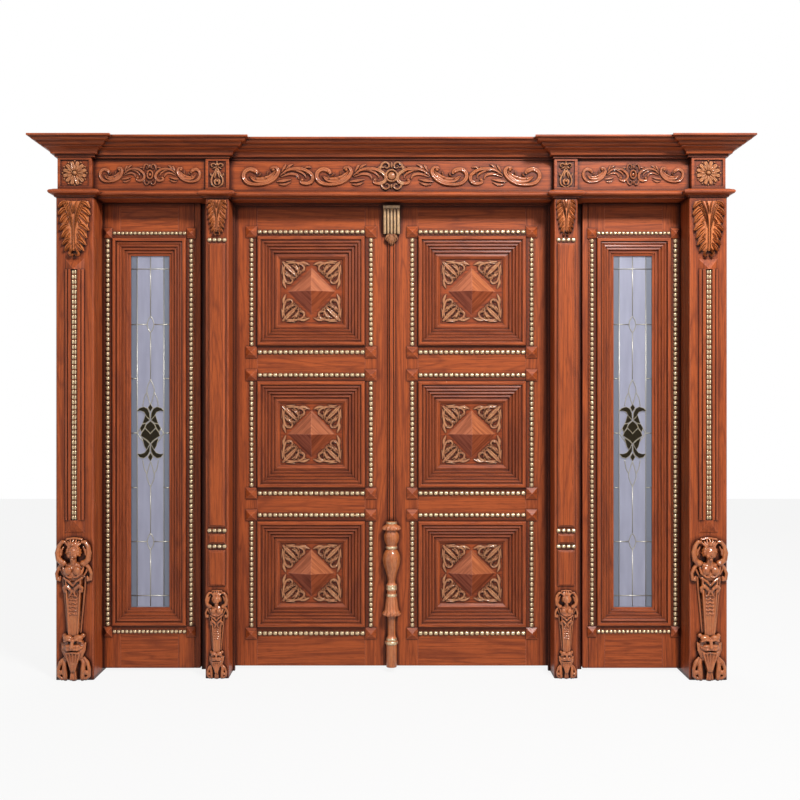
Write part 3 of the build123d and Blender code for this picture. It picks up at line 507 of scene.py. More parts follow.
outer_post_centre, post_front = 1.647, -0.0725
twin_offset, twin_proud, twin_bead, twin_pitch = 0.0065, 0.0100, 0.0062, 0.0262
twin_foot, twin_head = 0.832, 2.134
strings = []
for way in (-1, 1):
    for offset in (-twin_offset, twin_offset):
        x = way * outer_post_centre + offset
        strings.append(((x, post_front - twin_proud, twin_foot), (x, post_front - twin_proud, twin_head),
                        twin_bead, twin_pitch))
bead_piece("outer_bead_strings", strings, "frame", "outer_bead_columns")

inner_post_centre, inner_front = 0.9125, -0.0425
inner_row_half, inner_bead, inner_pitch = 0.052, 0.0113, 0.026
strings = []
for way in (-1, 1):
    for z in (2.293, 0.773, 0.690):
        x = way * inner_post_centre
        strings.append(((x - inner_row_half, inner_front, z), (x + inner_row_half, inner_front, z),
                        inner_bead, inner_pitch))
bead_piece("inner_bead_strings", strings, "frame", "inner_bead_rows")


# Planted carvings: leaves and scrolls of solid wood, glued to the face behind them.
# Each is cut as rounded strokes with a vein down the middle, and rubbed with gold that is
# partly a painted highlight on the proud parts.
# Openness spans for the patina and painted shade in the hollows of carvings.
deep_patina_and_shade, light_patina_and_shade = (0.82, 0.34), (0.68, 0.20)
carved_wood = lacquered_wood("carved_wood", 0, (0.15, 0.032, 0.009, 1), (0.37, 0.092, 0.024, 1),
                             0.10, 0.35, 0, deep_patina_and_shade)
gilt_wood = lacquered_wood("gilt_wood", 2, (0.18, 0.056, 0.022, 1), (0.38, 0.138, 0.054, 1),
                           0.34, 0.35, 0, light_patina_and_shade)
for name in ("left_leaf_spandrels", "right_leaf_spandrels", "centre_frieze_scroll",
             "left_frieze_scroll", "right_frieze_scroll", "frieze_rosettes", "frieze_cartouches",
             "outer_capitals", "inner_capitals", "outer_herm_left", "outer_herm_right",
             "inner_herm_left", "inner_herm_right", "outer_lion_feet", "inner_lion_feet",
             "console", "pendant_leaf", "baluster"):
    finish_node(name, carved_wood)


def smooth_line(points, steps):
    """Points on a rounded curve through (across, up, width) triples."""
    line = []
    padded = [points[0], *points, points[-1]]
    for a, b, c, d in zip(padded, padded[1:], padded[2:], padded[3:]):
        for i in range(steps):
            t = i / steps
            line.append([
                0.5 * (2 * q + (r - p) * t + (2 * p - 5 * q + 4 * r - s) * t * t
                       + (3 * q - p - 3 * r + s) * t ** 3)
                for p, q, r, s in zip(a, b, c, d)
            ])
    line.append(list(points[-1]))
    return line


def carve_stroke(shape, points, seat, rise, place, scale=(1.0, 1.0), vein=0.3, steps=5):
    """A rounded, veined stroke. Sizes are millimetres in points, metres in seat and place."""
    line = smooth_line(points, steps)
    swell = (abs(scale[0]) + abs(scale[1])) / 2
    across_steps, least_width, end_height, vein_half = 8, 2.0, 0.35, 0.28
    rows = []
    for i, (u, v, w) in enumerate(line):
        before, after = line[max(i - 1, 0)], line[min(i + 1, len(line) - 1)]
        run_x = (after[0] - before[0]) * scale[0]
        run_z = (after[1] - before[1]) * scale[1]
        length = math.hypot(run_x, run_z) or 1.0
        side = (-run_z / length, run_x / length)
        share = i / (len(line) - 1)
        fullness = math.sin(math.pi * min(1.0, 0.12 + 0.8 * share)) ** 0.6
        height = rise * (end_height + (1 - end_height) * fullness)
        row = []
        for j in range(across_steps + 1):
            s = -1 + 2 * j / across_steps
            dome = math.sqrt(max(0.0, 1 - s * s)) * (1 - vein * math.exp(-(s / vein_half) ** 2))
            reach = s * max(w, least_width) * swell / 2
            row.append(shape.verts.new((
                place[0] + (u * scale[0] + side[0] * reach) / 1000,
                seat - height * dome,
                place[1] + (v * scale[1] + side[1] * reach) / 1000,
            )))
        rows.append(row)
    for low, high in zip(rows, rows[1:]):
        for j in range(across_steps):
            shape.faces.new((low[j], low[j + 1], high[j + 1], high[j])).smooth = True
        shape.faces.new((low[-1], low[0], high[0], high[-1]))
    shape.faces.new(rows[0][::-1])
    shape.faces.new(rows[-1])


def carve_leaflets(shape, stem, seat, rise, place, scale, count, reach, corner_limit=None):
    """Small pointed leaves that spring in turn from both sides of a stem.

    In a corner, a leaf whose tip would pass the edges or the limit across the corner is left out.
    """
    line = smooth_line(stem, 6)
    for i in range(count):
        at = (i + 1) * (len(line) - 2) // (count + 1)
        (u, v, _), (next_u, next_v, _) = line[at], line[at + 1]
        length = math.hypot(next_u - u, next_v - v) or 1.0
        run_u, run_v = (next_u - u) / length, (next_v - v) / length
        way = 1 if i % 2 else -1
        out_u, out_v = 0.6 * run_u - way * 0.8 * run_v, 0.6 * run_v + way * 0.8 * run_u
        tip = (u + out_u * reach, v + out_v * reach, 2.0)
        if corner_limit and (sum(tip[:2]) > corner_limit or min(tip[:2]) < 1.0):
            continue
        belly = (u + out_u * reach * 0.55 + run_u * reach * 0.12,
                 v + out_v * reach * 0.55 + run_v * reach * 0.12, reach * 0.46)
        carve_stroke(shape, ((u, v, reach * 0.3), belly, tip), seat, rise, place, scale, 0.4, 2)


def carve_ring(shape, centre, radius_x, radius_z, half_width, rise):
    """A half-round ring on the plane at centre."""
    around, over = 36, 6
    loops = []
    for i in range(around):
        turn = 2 * math.pi * i / around
        loop = []
        for j in range(over + 1):
            lift = math.pi * j / over
            spread = half_width * math.cos(lift)
            loop.append(shape.verts.new((centre[0] + (radius_x + spread) * math.cos(turn),
                                         centre[1] - rise * math.sin(lift),
                                         centre[2] + (radius_z + spread) * math.sin(turn))))
        loops.append(loop)
    for low, high in zip(loops, loops[1:] + loops[:1]):
        for j in range(over):
            shape.faces.new((low[j], low[j + 1], high[j + 1], high[j])).smooth = True
        shape.faces.new((low[-1], low[0], high[0], high[-1]))


def carve_boss(shape, centre, radius, rise):
    """A round dome on the plane at centre."""
    rings, sides, crown_share = 7, 28, 0.03
    loops = []
    for i in range(rings):
        a = i / (rings - 1) * math.pi / 2
        reach = max(radius * math.cos(a), radius * crown_share)
        loop = []
        for j in range(sides):
            turn = 2 * math.pi * j / sides
            loop.append(shape.verts.new((centre[0] + reach * math.cos(turn),
                                         centre[1] - rise * math.sin(a),
                                         centre[2] + reach * math.sin(turn))))
        loops.append(loop)
    for low, high in zip(loops, loops[1:]):
        for j in range(sides):
            shape.faces.new((low[j], low[(j + 1) % sides], high[(j + 1) % sides], high[j])).smooth = True
    shape.faces.new(loops[0][::-1])
    shape.faces.new(loops[-1])


carving_crisp = math.radians(48)


def carved_piece(name, shape, body, *stands_for, paint=carved_wood):
    """A carving with soft domes and crisp cuts, in place of the plainer nodes it stands for."""
    mesh = finished_mesh(name, shape, carving_crisp)
    return shown_piece(name, mesh, paint, body, "carved_wood", *stands_for)


# Frieze scrolls: a C-scroll that holds a leaf, then an arching acanthus tail with leaflets.
# Four units meet at a ring in the middle of the centre bay, two in each side bay.
scroll_hook = ((88, 10, 14), (76, 26, 27), (46, 35, 25), (20, 20, 24), (14, -8, 24), (36, -36, 24),
               (78, -46, 20), (130, -40, 22), (172, -16, 27), (196, 18, 24), (186, 42, 18),
               (164, 44, 14), (158, 34, 8))
scroll_leaf = ((44, 0, 6), (74, -20, 30), (118, -22, 38), (158, -2, 28), (186, 30, 6))
scroll_frill = ((56, 2, 6), (92, -4, 10), (132, 0, 10), (164, 20, 6))
tail_arch = ((206, 0, 6), (243, 28, 16), (290, 38, 20), (338, 30, 21), (374, 4, 22), (377, -22, 22),
             (352, -40, 22), (318, -34, 18), (322, -14, 10))
tail_leaflets = (
    ((210, -6, 6), (258, 10, 16), (294, 4, 16), (306, -16, 8)),
    ((188, -30, 8), (226, -26, 18), (266, -18, 6)),
    ((200, -44, 5), (230, -46, 16), (262, -34, 5)),
    ((216, 20, 6), (228, 42, 16), (238, 58, 8)),
    ((236, 34, 6), (256, 52, 15), (276, 60, 6)),
    ((262, 30, 6), (300, 26, 13), (334, 8, 13), (344, -12, 6)),
    ((330, 36, 5), (350, 46, 14), (372, 44, 5)),
)
scroll_eyes, eye_radius = ((76, 22), (170, 32), (322, -22)), 0.010
frieze_middle = 2.637


def carve_scroll_unit(shape, x, seat, stretch, grow, rise):
    """One scroll and its tail from x outwards. A negative stretch turns it to the left."""
    place, scale = (x, frieze_middle), (stretch, grow)
    for points in tail_leaflets:
        carve_stroke(shape, points, seat, rise * 0.72, place, scale)
    carve_stroke(shape, scroll_leaf, seat, rise * 0.85, place, scale, 0.45)
    carve_leaflets(shape, scroll_frill, seat, rise, place, scale, 4, 25)
    carve_leaflets(shape, tail_arch[:7], seat, rise * 0.8, place, scale, 8, 20)
    carve_stroke(shape, scroll_hook, seat, rise, place, scale)
    carve_stroke(shape, tail_arch, seat, rise, place, scale)
    for u, v in scroll_eyes:
        eye = (x + u * stretch / 1000, seat, frieze_middle + v * grow / 1000)
        carve_boss(shape, eye, eye_radius * grow, rise)


centre_curls = (
    ((64, 26, 4), (58, 42, 12), (50, 62, 14), (32, 71, 13), (15, 62, 12), (15, 46, 10), (27, 40, 8),
     (35, 48, 7), (31, 55, 5)),
    ((58, -28, 4), (54, -44, 12), (46, -61, 13), (30, -70, 12), (14, -62, 11), (15, -48, 9),
     (26, -43, 7), (32, -50, 5)),
    ((1, 42, 4), (2, 56, 11), (1, 74, 4)),
    ((1, -42, 4), (2, -54, 10), (1, -68, 4)),
)
centre_front, centre_rise = 0.0025, 0.014
scroll_starts = (0.794, 0.409)
centre_ring, centre_ring_half, centre_boss = 0.030, 0.0062, 0.0225
shape = bmesh.new()
for way in (-1, 1):
    for start in scroll_starts:
        carve_scroll_unit(shape, way * start, centre_front, -way * 1.0, 1.0, centre_rise)
    for points in centre_curls:
        carve_stroke(shape, points, centre_front, 0.013, (0, frieze_middle), (way, 1.0))
middle = (0, centre_front, frieze_middle)
carve_ring(shape, middle, centre_ring, centre_ring, centre_ring_half, centre_rise)
carve_boss(shape, middle, centre_boss, 0.011)
ring_piece = carved_piece("centre_frieze_carving", shape, "frame", "centre_frieze_scroll")
ring_piece.data.materials.append(gilt_wood)
gilt_reach, gilt_half = 0.088, 0.066
for face in ring_piece.data.polygons:
    across, up = face.center.x, face.center.z - frieze_middle
    if math.hypot(across, up) < gilt_reach and abs(across) < gilt_half:
        face.material_index = 1

side_bay_front, side_rise = -0.0275, 0.011
side_middle, side_half, side_stretch, side_grow = 1.266, 0.270, 0.245 / 0.385, 0.8
side_curl_scale = (0.56, 0.76)
for side, way in (("left", -1), ("right", 1)):
    shape = bmesh.new()
    for turned in (-1, 1):
        carve_scroll_unit(shape, way * (side_middle + turned * side_half), side_bay_front,
                          -turned * way * side_stretch, side_grow, side_rise)
    for turned in (-1, 1):
        for points in centre_curls:
            carve_stroke(shape, points, side_bay_front, 0.010, (way * side_middle, frieze_middle),
                         (turned * side_curl_scale[0], side_curl_scale[1]))
    middle = (way * side_middle, side_bay_front, frieze_middle)
    carve_ring(shape, middle, 0.0145, 0.0215, 0.0052, side_rise)
    carve_boss(shape, middle, 0.010, 0.008)
    carved_piece(f"{side}_frieze_carving", shape, "frame", f"{side}_frieze_scroll")


# Rosettes and cartouches: ornaments carved from solid wood and toned with gold, which is partly
# a painted highlight, planted in the sunk panels of the frieze blocks. A rosette has twelve
# petals with a bud between each two.
rosette_wood = lacquered_wood("rosette_wood", 2, (0.24, 0.080, 0.030, 1), (0.46, 0.170, 0.066, 1),
                              0.30, 0.35, 0, (0.50, 0.14))
rosette_x, rosette_seat, petal_count = 1.649, -0.0645, 12
petal_rows = ((16, 7), (36, 17), (54, 22), (62, 12))
sepal_rows = ((14, 6), (30, 11), (46, 3))
bud_reach, bud_radius = 0.063, 0.0048


def spoke(turn, rows):
    """Points straight out from the middle at a turn, from (reach, width) pairs."""
    return [(reach * math.cos(turn), reach * math.sin(turn), width) for reach, width in rows]


shape = bmesh.new()
for way in (-1, 1):
    place = (way * rosette_x, frieze_middle)
    for i in range(petal_count):
        turn = 2 * math.pi * (i + 0.5) / petal_count
        carve_stroke(shape, spoke(turn, petal_rows), rosette_seat, 0.011, place, (1, 1), 0.5, 3)
        turn += math.pi / petal_count
        carve_stroke(shape, spoke(turn, sepal_rows), rosette_seat, 0.013, place, (1, 1), 0.3, 3)
        bud = (place[0] + bud_reach * math.cos(turn), rosette_seat, place[1] + bud_reach * math.sin(turn))
        carve_boss(shape, bud, bud_radius, 0.010)
    carve_boss(shape, (place[0], rosette_seat, place[1]), 0.0125, 0.018)
carved_piece("rosette_carving", shape, "frame", "frieze_rosettes", paint=rosette_wood)

cartouche_strokes = (
    ((0, 46, 5), (0, 58, 12), (0, 72, 3)),
    ((3, 44, 5), (16, 56, 9), (30, 50, 8), (26, 40, 6), (18, 44, 4)),
    ((2, 40, 5), (14, 34, 9), (24, 30, 4)),
    ((3, 34, 6), (9, 16, 9), (20, -4, 9), (30, -28, 9), (26, -52, 9), (8, -66, 7), (0, -66, 6)),
    ((2, 20, 6), (8, 0, 10), (14, -22, 4)),
    ((3, -24, 6), (12, -34, 12), (10, -50, 10), (2, -54, 5)),
    ((22, -12, 4), (32, -4, 8), (34, 8, 3)),
)
cartouche_seat, cartouche_bead_seat = inner_front + 0.008, inner_front + 0.004
shape = bmesh.new()
for way in (-1, 1):
    x = way * inner_post_centre
    for turned in (-1, 1):
        for points in cartouche_strokes:
            carve_stroke(shape, points, cartouche_seat, 0.014, (x, frieze_middle), (turned, 1.0))
    for up in (-0.035, 0.014, 0.052):
        carve_boss(shape, (x, cartouche_bead_seat, frieze_middle + up), 0.007, 0.011)
carved_piece("cartouche_carving", shape, "frame", "frieze_cartouches", paint=rosette_wood)


# Capitals: a hanging acanthus leaf in three tiers of curling lobes, carved from one piece
# over a plain backing and planted on each post head, stained brighter than the posts.
# Its gold on the proud parts is partly a painted highlight, its dark hollows partly painted shade.
leaf_wood = lacquered_wood("leaf_wood", 2, (0.32, 0.080, 0.020, 1), (0.60, 0.175, 0.046, 1),
                           0.16, 0.5, 0, (0.52, 0.12))
capital_lobes = (
    ((32, -38, 14), (60, -48, 28), (84, -74, 10)), ((26, -64, 14), (54, -84, 28), (76, -114, 8)),
    ((22, -90, 10), (36, -110, 18), (46, -132, 5)),
    ((24, -122, 12), (52, -132, 26), (78, -156, 9)), ((20, -146, 12), (46, -166, 26), (66, -194, 8)),
    ((18, -170, 9), (32, -190, 16), (38, -210, 5)),
    ((18, -200, 11), (42, -210, 22), (62, -232, 7)), ((14, -222, 11), (34, -240, 22), (50, -264, 6)),
    ((40, -6, 16), (64, -14, 24), (83, -38, 7)), ((58, -2, 14), (34, -50, 15), (16, -110, 9), (10, -150, 5)),
    ((38, -2, 15), (18, -56, 13), (7, -120, 9), (6, -262, 7)), ((16, -2, 13), (8, -30, 13), (3, -76, 5)),
    ((8, -250, 9), (17, -262, 10), (24, -276, 10), (15, -288, 9), (6, -278, 7)),
)


drawn_wide, drawn_tall = 172.0, 291.0


def carve_capital(shape, x, top, tall, width, seat, rise):
    """Sizes of the leaf are millimetres, its place and rise metres."""
    scale = (width / drawn_wide, tall / drawn_tall)
    backing = ((0, -2, 148), (0, -80, 150), (0, -180, 122), (0, -262, 62))
    carve_stroke(shape, backing, seat, rise * 0.6, (x, top), scale, 0.0)
    for turned in (-1, 1):
        for points in capital_lobes:
            carve_stroke(shape, points, seat, rise, (x, top), (turned * scale[0], scale[1]), 0.5)


capitals = (("outer", outer_post_centre, 2.490, 288, 166, post_front, 0.033),
            ("inner", inner_post_centre, 2.502, 186, 103, inner_front, 0.023))
for post, x, *sizes in capitals:
    shape = bmesh.new()
    for way in (-1, 1):
        carve_capital(shape, way * x, *sizes)
    carved_piece(f"{post}_capital_carving", shape, "frame", f"{post}_capitals", paint=leaf_wood)


# Leaf spandrels: pierced sprays of scrolls and leaves that fill the corners round each
# diamond, each fretted from one board and planted on the raised field.
spray_leaf = ((8, 8, 10), (30, 30, 22), (58, 58, 24), (78, 78, 14), (92, 92, 4))
spray_scroll = ((26, 20, 6), (56, 14, 12), (92, 16, 14), (120, 30, 13), (124, 52, 12), (108, 62, 10),
                (94, 54, 8), (98, 44, 5))
spray_inner = ((58, 28, 5), (80, 40, 15), (94, 60, 12), (92, 84, 4))
spray_tips = (
    ((96, 14, 6), (124, 14, 17), (154, 26, 5)),
    ((66, 20, 5), (84, 34, 12), (88, 50, 4)),
    ((26, 8, 6), (52, 8, 13), (76, 3, 4)),
)
field_front, field_half, spray_inset, corner_limit = 0.1465, 0.1685, 0.004, 190
moulding_inset = 0.122
for side, way in (("left", -1), ("right", 1)):
    shape = bmesh.new()
    for middle, height in leaf_panels:
        rise_half = height / 2 - moulding_inset
        for turned in (-1, 1):
            for up in (-1, 1):
                corner = (way * leaf_middle + turned * (field_half - spray_inset),
                          middle + up * (rise_half - spray_inset))
                grow = (-turned, -up)
                carve_stroke(shape, spray_leaf, field_front, 0.009, corner, grow, 0.45, 3)
                carve_leaflets(shape, spray_leaf, field_front, 0.010, corner, grow, 6, 20, corner_limit)
                for swapped in (False, True):
                    for points in (spray_scroll, spray_inner, *spray_tips):
                        points = [(v, u, w) for u, v, w in points] if swapped else points
                        carve_stroke(shape, points, field_front, 0.009, corner, grow, 0.3, 3)
                    for points, count, reach in ((spray_scroll, 6, 22), (spray_inner, 4, 17)):
                        points = [(v, u, w) for u, v, w in points] if swapped else points
                        carve_leaflets(shape, points, field_front, 0.011, corner, grow, count, reach,
                                       corner_limit)
    carved_piece(f"{side}_spandrel_carving", shape, f"{side}_leaf", f"{side}_leaf_spandrels", paint=gilt_wood)


# Frames of the leaves and sidelights: stiles and rails of solid wood, each board with eased
# edges and its own grain, joined square with tight dark joints.
def add_board(shape, x_from, x_to, z_from, z_to, front, back, level):
    """One board with eased edges. A level board takes the second material."""
    made = bmesh.ops.create_cube(shape, size=1.0)["verts"]
    for vertex in made:
        vertex.co = Vector(((x_from + x_to) / 2 + vertex.co.x * abs(x_to - x_from),
                            (front + back) / 2 + vertex.co.y * (back - front),
                            (z_from + z_to) / 2 + vertex.co.z * (z_to - z_from)))
    edges = list({edge for vertex in made for edge in vertex.link_edges})
    eased = bmesh.ops.bevel(shape, geom=edges, offset=0.0012, segments=2, affect="EDGES", profile=0.6)
    for face in {face for vertex in eased["verts"] for face in vertex.link_faces}:
        face.material_index = 1 if level else 0


def framed_piece(name, boards, body, node):
    shape = bmesh.new()
    for board in boards:
        add_board(shape, *board)
    piece = shown_piece(name, finished_mesh(name, shape), upright_wood, body, "lacquered_wood", node)
    piece.data.materials.append(level_wood)


leaf_back, leaf_foot, leaf_head = 0.1725, 0.022, 2.508
meeting_edge, hinge_edge = 0.002, 0.848
stile_inner, stile_outer = 0.143, 0.724
moulding_inner, moulding_outer = 0.203, 0.664
leaf_rails = ((2.278, leaf_head), (1.497, 1.808), (0.742, 1.043), (leaf_foot, 0.292))
for side, way in (("left", -1), ("right", 1)):
    boards = [(way * meeting_edge, way * stile_inner, leaf_foot, leaf_head, leaf_front, leaf_back, False),
              (way * stile_outer, way * hinge_edge, leaf_foot, leaf_head, leaf_front, leaf_back, False)]
    for low, high in leaf_rails:
        boards.append((way * stile_inner, way * stile_outer, low, high, leaf_front, leaf_back, True))
    for (upper_low, _), (_, lower_high) in zip(leaf_rails, leaf_rails[1:]):
        for start, end in ((stile_inner, moulding_inner), (moulding_outer, stile_outer)):
            boards.append((way * start, way * end, lower_high, upper_low, leaf_front, leaf_back, False))
    framed_piece(f"{side}_leaf_boards", boards, f"{side}_leaf", f"{side}_leaf_frame")

light_back, light_foot, light_head = 0.1475, 0.016, 2.512
light_inner, light_outer = 1.145, 1.454
light_stiles = ((1.026, 1.0545, 0.0), (1.0535, 1.0585, 0.005), (1.0575, light_inner, 0.0),
                (light_outer, 1.549, 0.0))
light_rails = ((2.281, light_head), (light_foot, 0.288))
for side, way in (("left", -1), ("right", 1)):
    boards = []
    for start, end, set_back in light_stiles:
        front = light_front + set_back
        boards.append((way * start, way * end, light_foot, light_head, front, light_back, False))
    for low, high in light_rails:
        boards.append((way * light_inner, way * light_outer, low, high, light_front, light_back, True))
    framed_piece(f"sidelight_boards_{side}", boards, "frame", f"sidelight_frame_{side}")


# Herm figures: each carved in the round from one block, a calm figure with raised arms over
# a tapering ribbed shaft, glued to the post and screwed from behind.
figure_wood = lacquered_wood("figure_wood", 2, (0.20, 0.044, 0.011, 1), (0.46, 0.122, 0.028, 1),
                             0.10, 0.75, 0, deep_patina_and_shade)
unit_ball = bmesh.new()
bmesh.ops.create_icosphere(unit_ball, subdivisions=2, radius=1.0)
unit_ball.verts.index_update()
ball_points = [tuple(vertex.co) for vertex in unit_ball.verts]
ball_faces = [[vertex.index for vertex in face.verts] for face in unit_ball.faces]
unit_ball.free()


def add_blob(shape, centre, radii):
    """A ball or egg. Its centre and radii are (across, up, forward) in millimetres."""
    made = [shape.verts.new([c + v * r for c, v, r in zip(centre, point, radii)]) for point in ball_points]
    for face in ball_faces:
        shape.faces.new([made[i] for i in face])


def add_limb(shape, path, spacing=0.35):
    """Overlapping balls along a path of (across, up, forward, radius)."""
    for start, end in zip(path, path[1:]):
        length = math.dist(start[:3], end[:3])
        count = max(2, int(length / (min(start[3], end[3]) * spacing)) + 1)
        for i in range(count + 1):
            t = i / count
            u, v, d, r = (a + (b - a) * t for a, b in zip(start, end))
            add_blob(shape, (u, v, d), (r, r, r))


def carved_in_the_round(name, build, places, body, cell, share, *stands_for):
    """Blobs and limbs melted into one skin, set on the seat at each (x, low, seat, size).

    The skin has cells of the given millimetres and keeps a share of its faces.
    """
    floor_clear = 0.0005
    source = bmesh.new()
    build(source)
    mesh = bpy.data.meshes.new(name)
    source.to_mesh(mesh)
    source.free()
    block = bpy.data.objects.new(name, mesh)
    scene.collection.objects.link(block)
    skin = block.modifiers.new("skin", "REMESH")
    skin.mode = "VOXEL"
    skin.voxel_size = cell
    soften = block.modifiers.new("soften", "SMOOTH")
    soften.iterations = 3
    soften.factor = 0.5
    thin = block.modifiers.new("thin", "DECIMATE")
    thin.ratio = share
    bpy.context.view_layer.update()
    figure = bpy.data.meshes.new_from_object(block.evaluated_get(bpy.context.evaluated_depsgraph_get()))
    bpy.data.objects.remove(block)
    shape = bmesh.new()
    for x, low, seat, size in places:
        part = bmesh.new()
        part.from_mesh(figure)
        for vertex in part.verts:
            u, v, d = vertex.co
            vertex.co = Vector((x + u * size / 1000, seat - d * size / 1000, low + v * size / 1000))
        bmesh.ops.bisect_plane(part, geom=part.verts[:] + part.edges[:] + part.faces[:],
                               plane_co=(0, seat, 0), plane_no=(0, 1, 0), clear_outer=True)
        bmesh.ops.bisect_plane(part, geom=part.verts[:] + part.edges[:] + part.faces[:],
                               plane_co=(0, 0, floor_clear), plane_no=(0, 0, -1), clear_outer=True)
        held = bpy.data.meshes.new("held")
        part.to_mesh(held)
        part.free()
        shape.from_mesh(held)
        bpy.data.meshes.remove(held)
    for face in shape.faces:
        face.smooth = True
    return carved_piece(name, shape, body, *stands_for, paint=figure_wood)


def add_taper(shape, low, high, half_low, half_high, back, front):
    """A tapering block, narrow at the foot, with its front face inset like a term's."""
    corners = [shape.verts.new((across * half, level, deep))
               for level, half in ((low, half_low), (high, half_high))
               for across, deep in ((-1, back), (1, back), (0.8, front), (-0.8, front))]
    for side in ((0, 1, 2, 3), (4, 5, 6, 7), (0, 1, 5, 4), (1, 2, 6, 5), (2, 3, 7, 6), (3, 0, 4, 7)):
        shape.faces.new([corners[i] for i in side])


def build_herm(shape):
    """The shaft, its leaf and swags, the body and arms, the head, the hair and the wreath."""
    add_taper(shape, 2, 300, 26, 47, -6, 26)
    for way in (-1, 1):
        add_limb(shape, ((way * 22, 8, 26, 5), (way * 38, 296, 28, 6)))
        add_limb(shape, ((way * 32, 14, 4, 6), (way * 58, 300, 4, 7)), 0.6)
    for v in range(112, 212, 19):
        for way in (-1, 1):
            add_limb(shape, ((way * 3, v + 6, 30, 4), (way * 14, v, 29, 4), (way * 20, v + 7, 25, 2.5)), 0.6)
    for way in (-1, 1):
        add_limb(shape, ((way * 4, 226, 30, 6), (way * 14, 246, 37, 9), (way * 32, 262, 36, 10),
                         (way * 46, 250, 30, 9), (way * 44, 232, 26, 7), (way * 32, 232, 28, 6)))
        add_limb(shape, ((way * 2, 262, 32, 6), (way * 18, 284, 37, 7), (way * 44, 302, 30, 7)))
        add_limb(shape, ((way * 4, 236, 34, 6), (way * 12, 214, 36, 5), (way * 20, 206, 32, 4)))
    add_blob(shape, (0, 320, 16), (46, 44, 26))
    add_blob(shape, (0, 352, 14), (50, 34, 24))
    for way in (-1, 1):
        add_blob(shape, (way * 23, 340, 38), (22, 24, 17))
        add_blob(shape, (way * 52, 376, 20), (20, 18, 18))
        add_limb(shape, ((way * 6, 306, 42, 4.5), (way * 26, 310, 42, 5), (way * 46, 328, 32, 6),
                         (way * 52, 352, 26, 6)))
        add_limb(shape, ((way * 54, 374, 20, 16), (way * 76, 396, 24, 15), (way * 82, 430, 24, 14),
                         (way * 76, 462, 22, 12), (way * 60, 486, 20, 10), (way * 44, 486, 20, 8)))
        add_limb(shape, ((way * 64, 420, 22, 6), (way * 60, 444, 24, 6), (way * 52, 460, 24, 5)))
        add_limb(shape, ((way * 60, 372, 12, 12), (way * 78, 350, 13, 10), (way * 90, 322, 13, 9),
                         (way * 86, 292, 12, 9), (way * 72, 288, 12, 8), (way * 70, 304, 13, 7)))
        add_limb(shape, ((way * 40, 296, 12, 7), (way * 62, 330, 12, 7), (way * 70, 352, 12, 6)), 0.6)
    add_limb(shape, ((0, 376, 20, 19), (0, 402, 26, 17)))
    add_blob(shape, (0, 431, 30), (28, 36, 27))
    curls, wreath_leaves = 11, 7
    for i in range(curls):
        turn = math.radians(-30 + 240 * i / (curls - 1))
        add_limb(shape, ((29 * math.cos(turn), 440 + 30 * math.sin(turn), 34, 7),
                         (37 * math.cos(turn), 434 + 34 * math.sin(turn), 22, 7)), 0.6)
    for i in range(wreath_leaves):
        turn = math.radians(20 + 140 * i / (wreath_leaves - 1))
        add_limb(shape, ((26 * math.cos(turn), 462 + 16 * math.sin(turn), 34, 5),
                         (38 * math.cos(turn), 468 + 30 * math.sin(turn), 24, 5)), 0.6)
    add_blob(shape, (0, 474, 38), (12, 12, 12))
    add_limb(shape, ((-14, 442, 53, 3), (0, 441, 56, 3), (14, 442, 53, 3)))
    add_limb(shape, ((0, 439, 56, 3.2), (0, 421, 60, 4.6)))
    add_blob(shape, (0, 410, 54), (9, 2.8, 3.6))
    add_blob(shape, (0, 399, 50), (9, 7, 7))
    for way in (-1, 1):
        add_blob(shape, (way * 11, 432, 52), (6, 3.4, 4))
        add_blob(shape, (way * 15, 418, 46), (10, 11, 9))
    add_limb(shape, ((-38, 498, 8, 8), (0, 503, 10, 8), (38, 498, 8, 8)))


outer_cell, outer_share, inner_cell, inner_share = 2.0, 0.5, 2.6, 0.6
carved_in_the_round("outer_herm_carving", build_herm,
                    [(way * outer_post_centre, 0.234, post_front, 1.0) for way in (-1, 1)],
                    "frame", outer_cell, outer_share, "outer_herm_left", "outer_herm_right")
carved_in_the_round("inner_herm_carving", build_herm,
                    [(way * inner_post_centre, 0.138, inner_front, 0.64) for way in (-1, 1)],
                    "frame", inner_cell, inner_share, "inner_herm_left", "inner_herm_right")


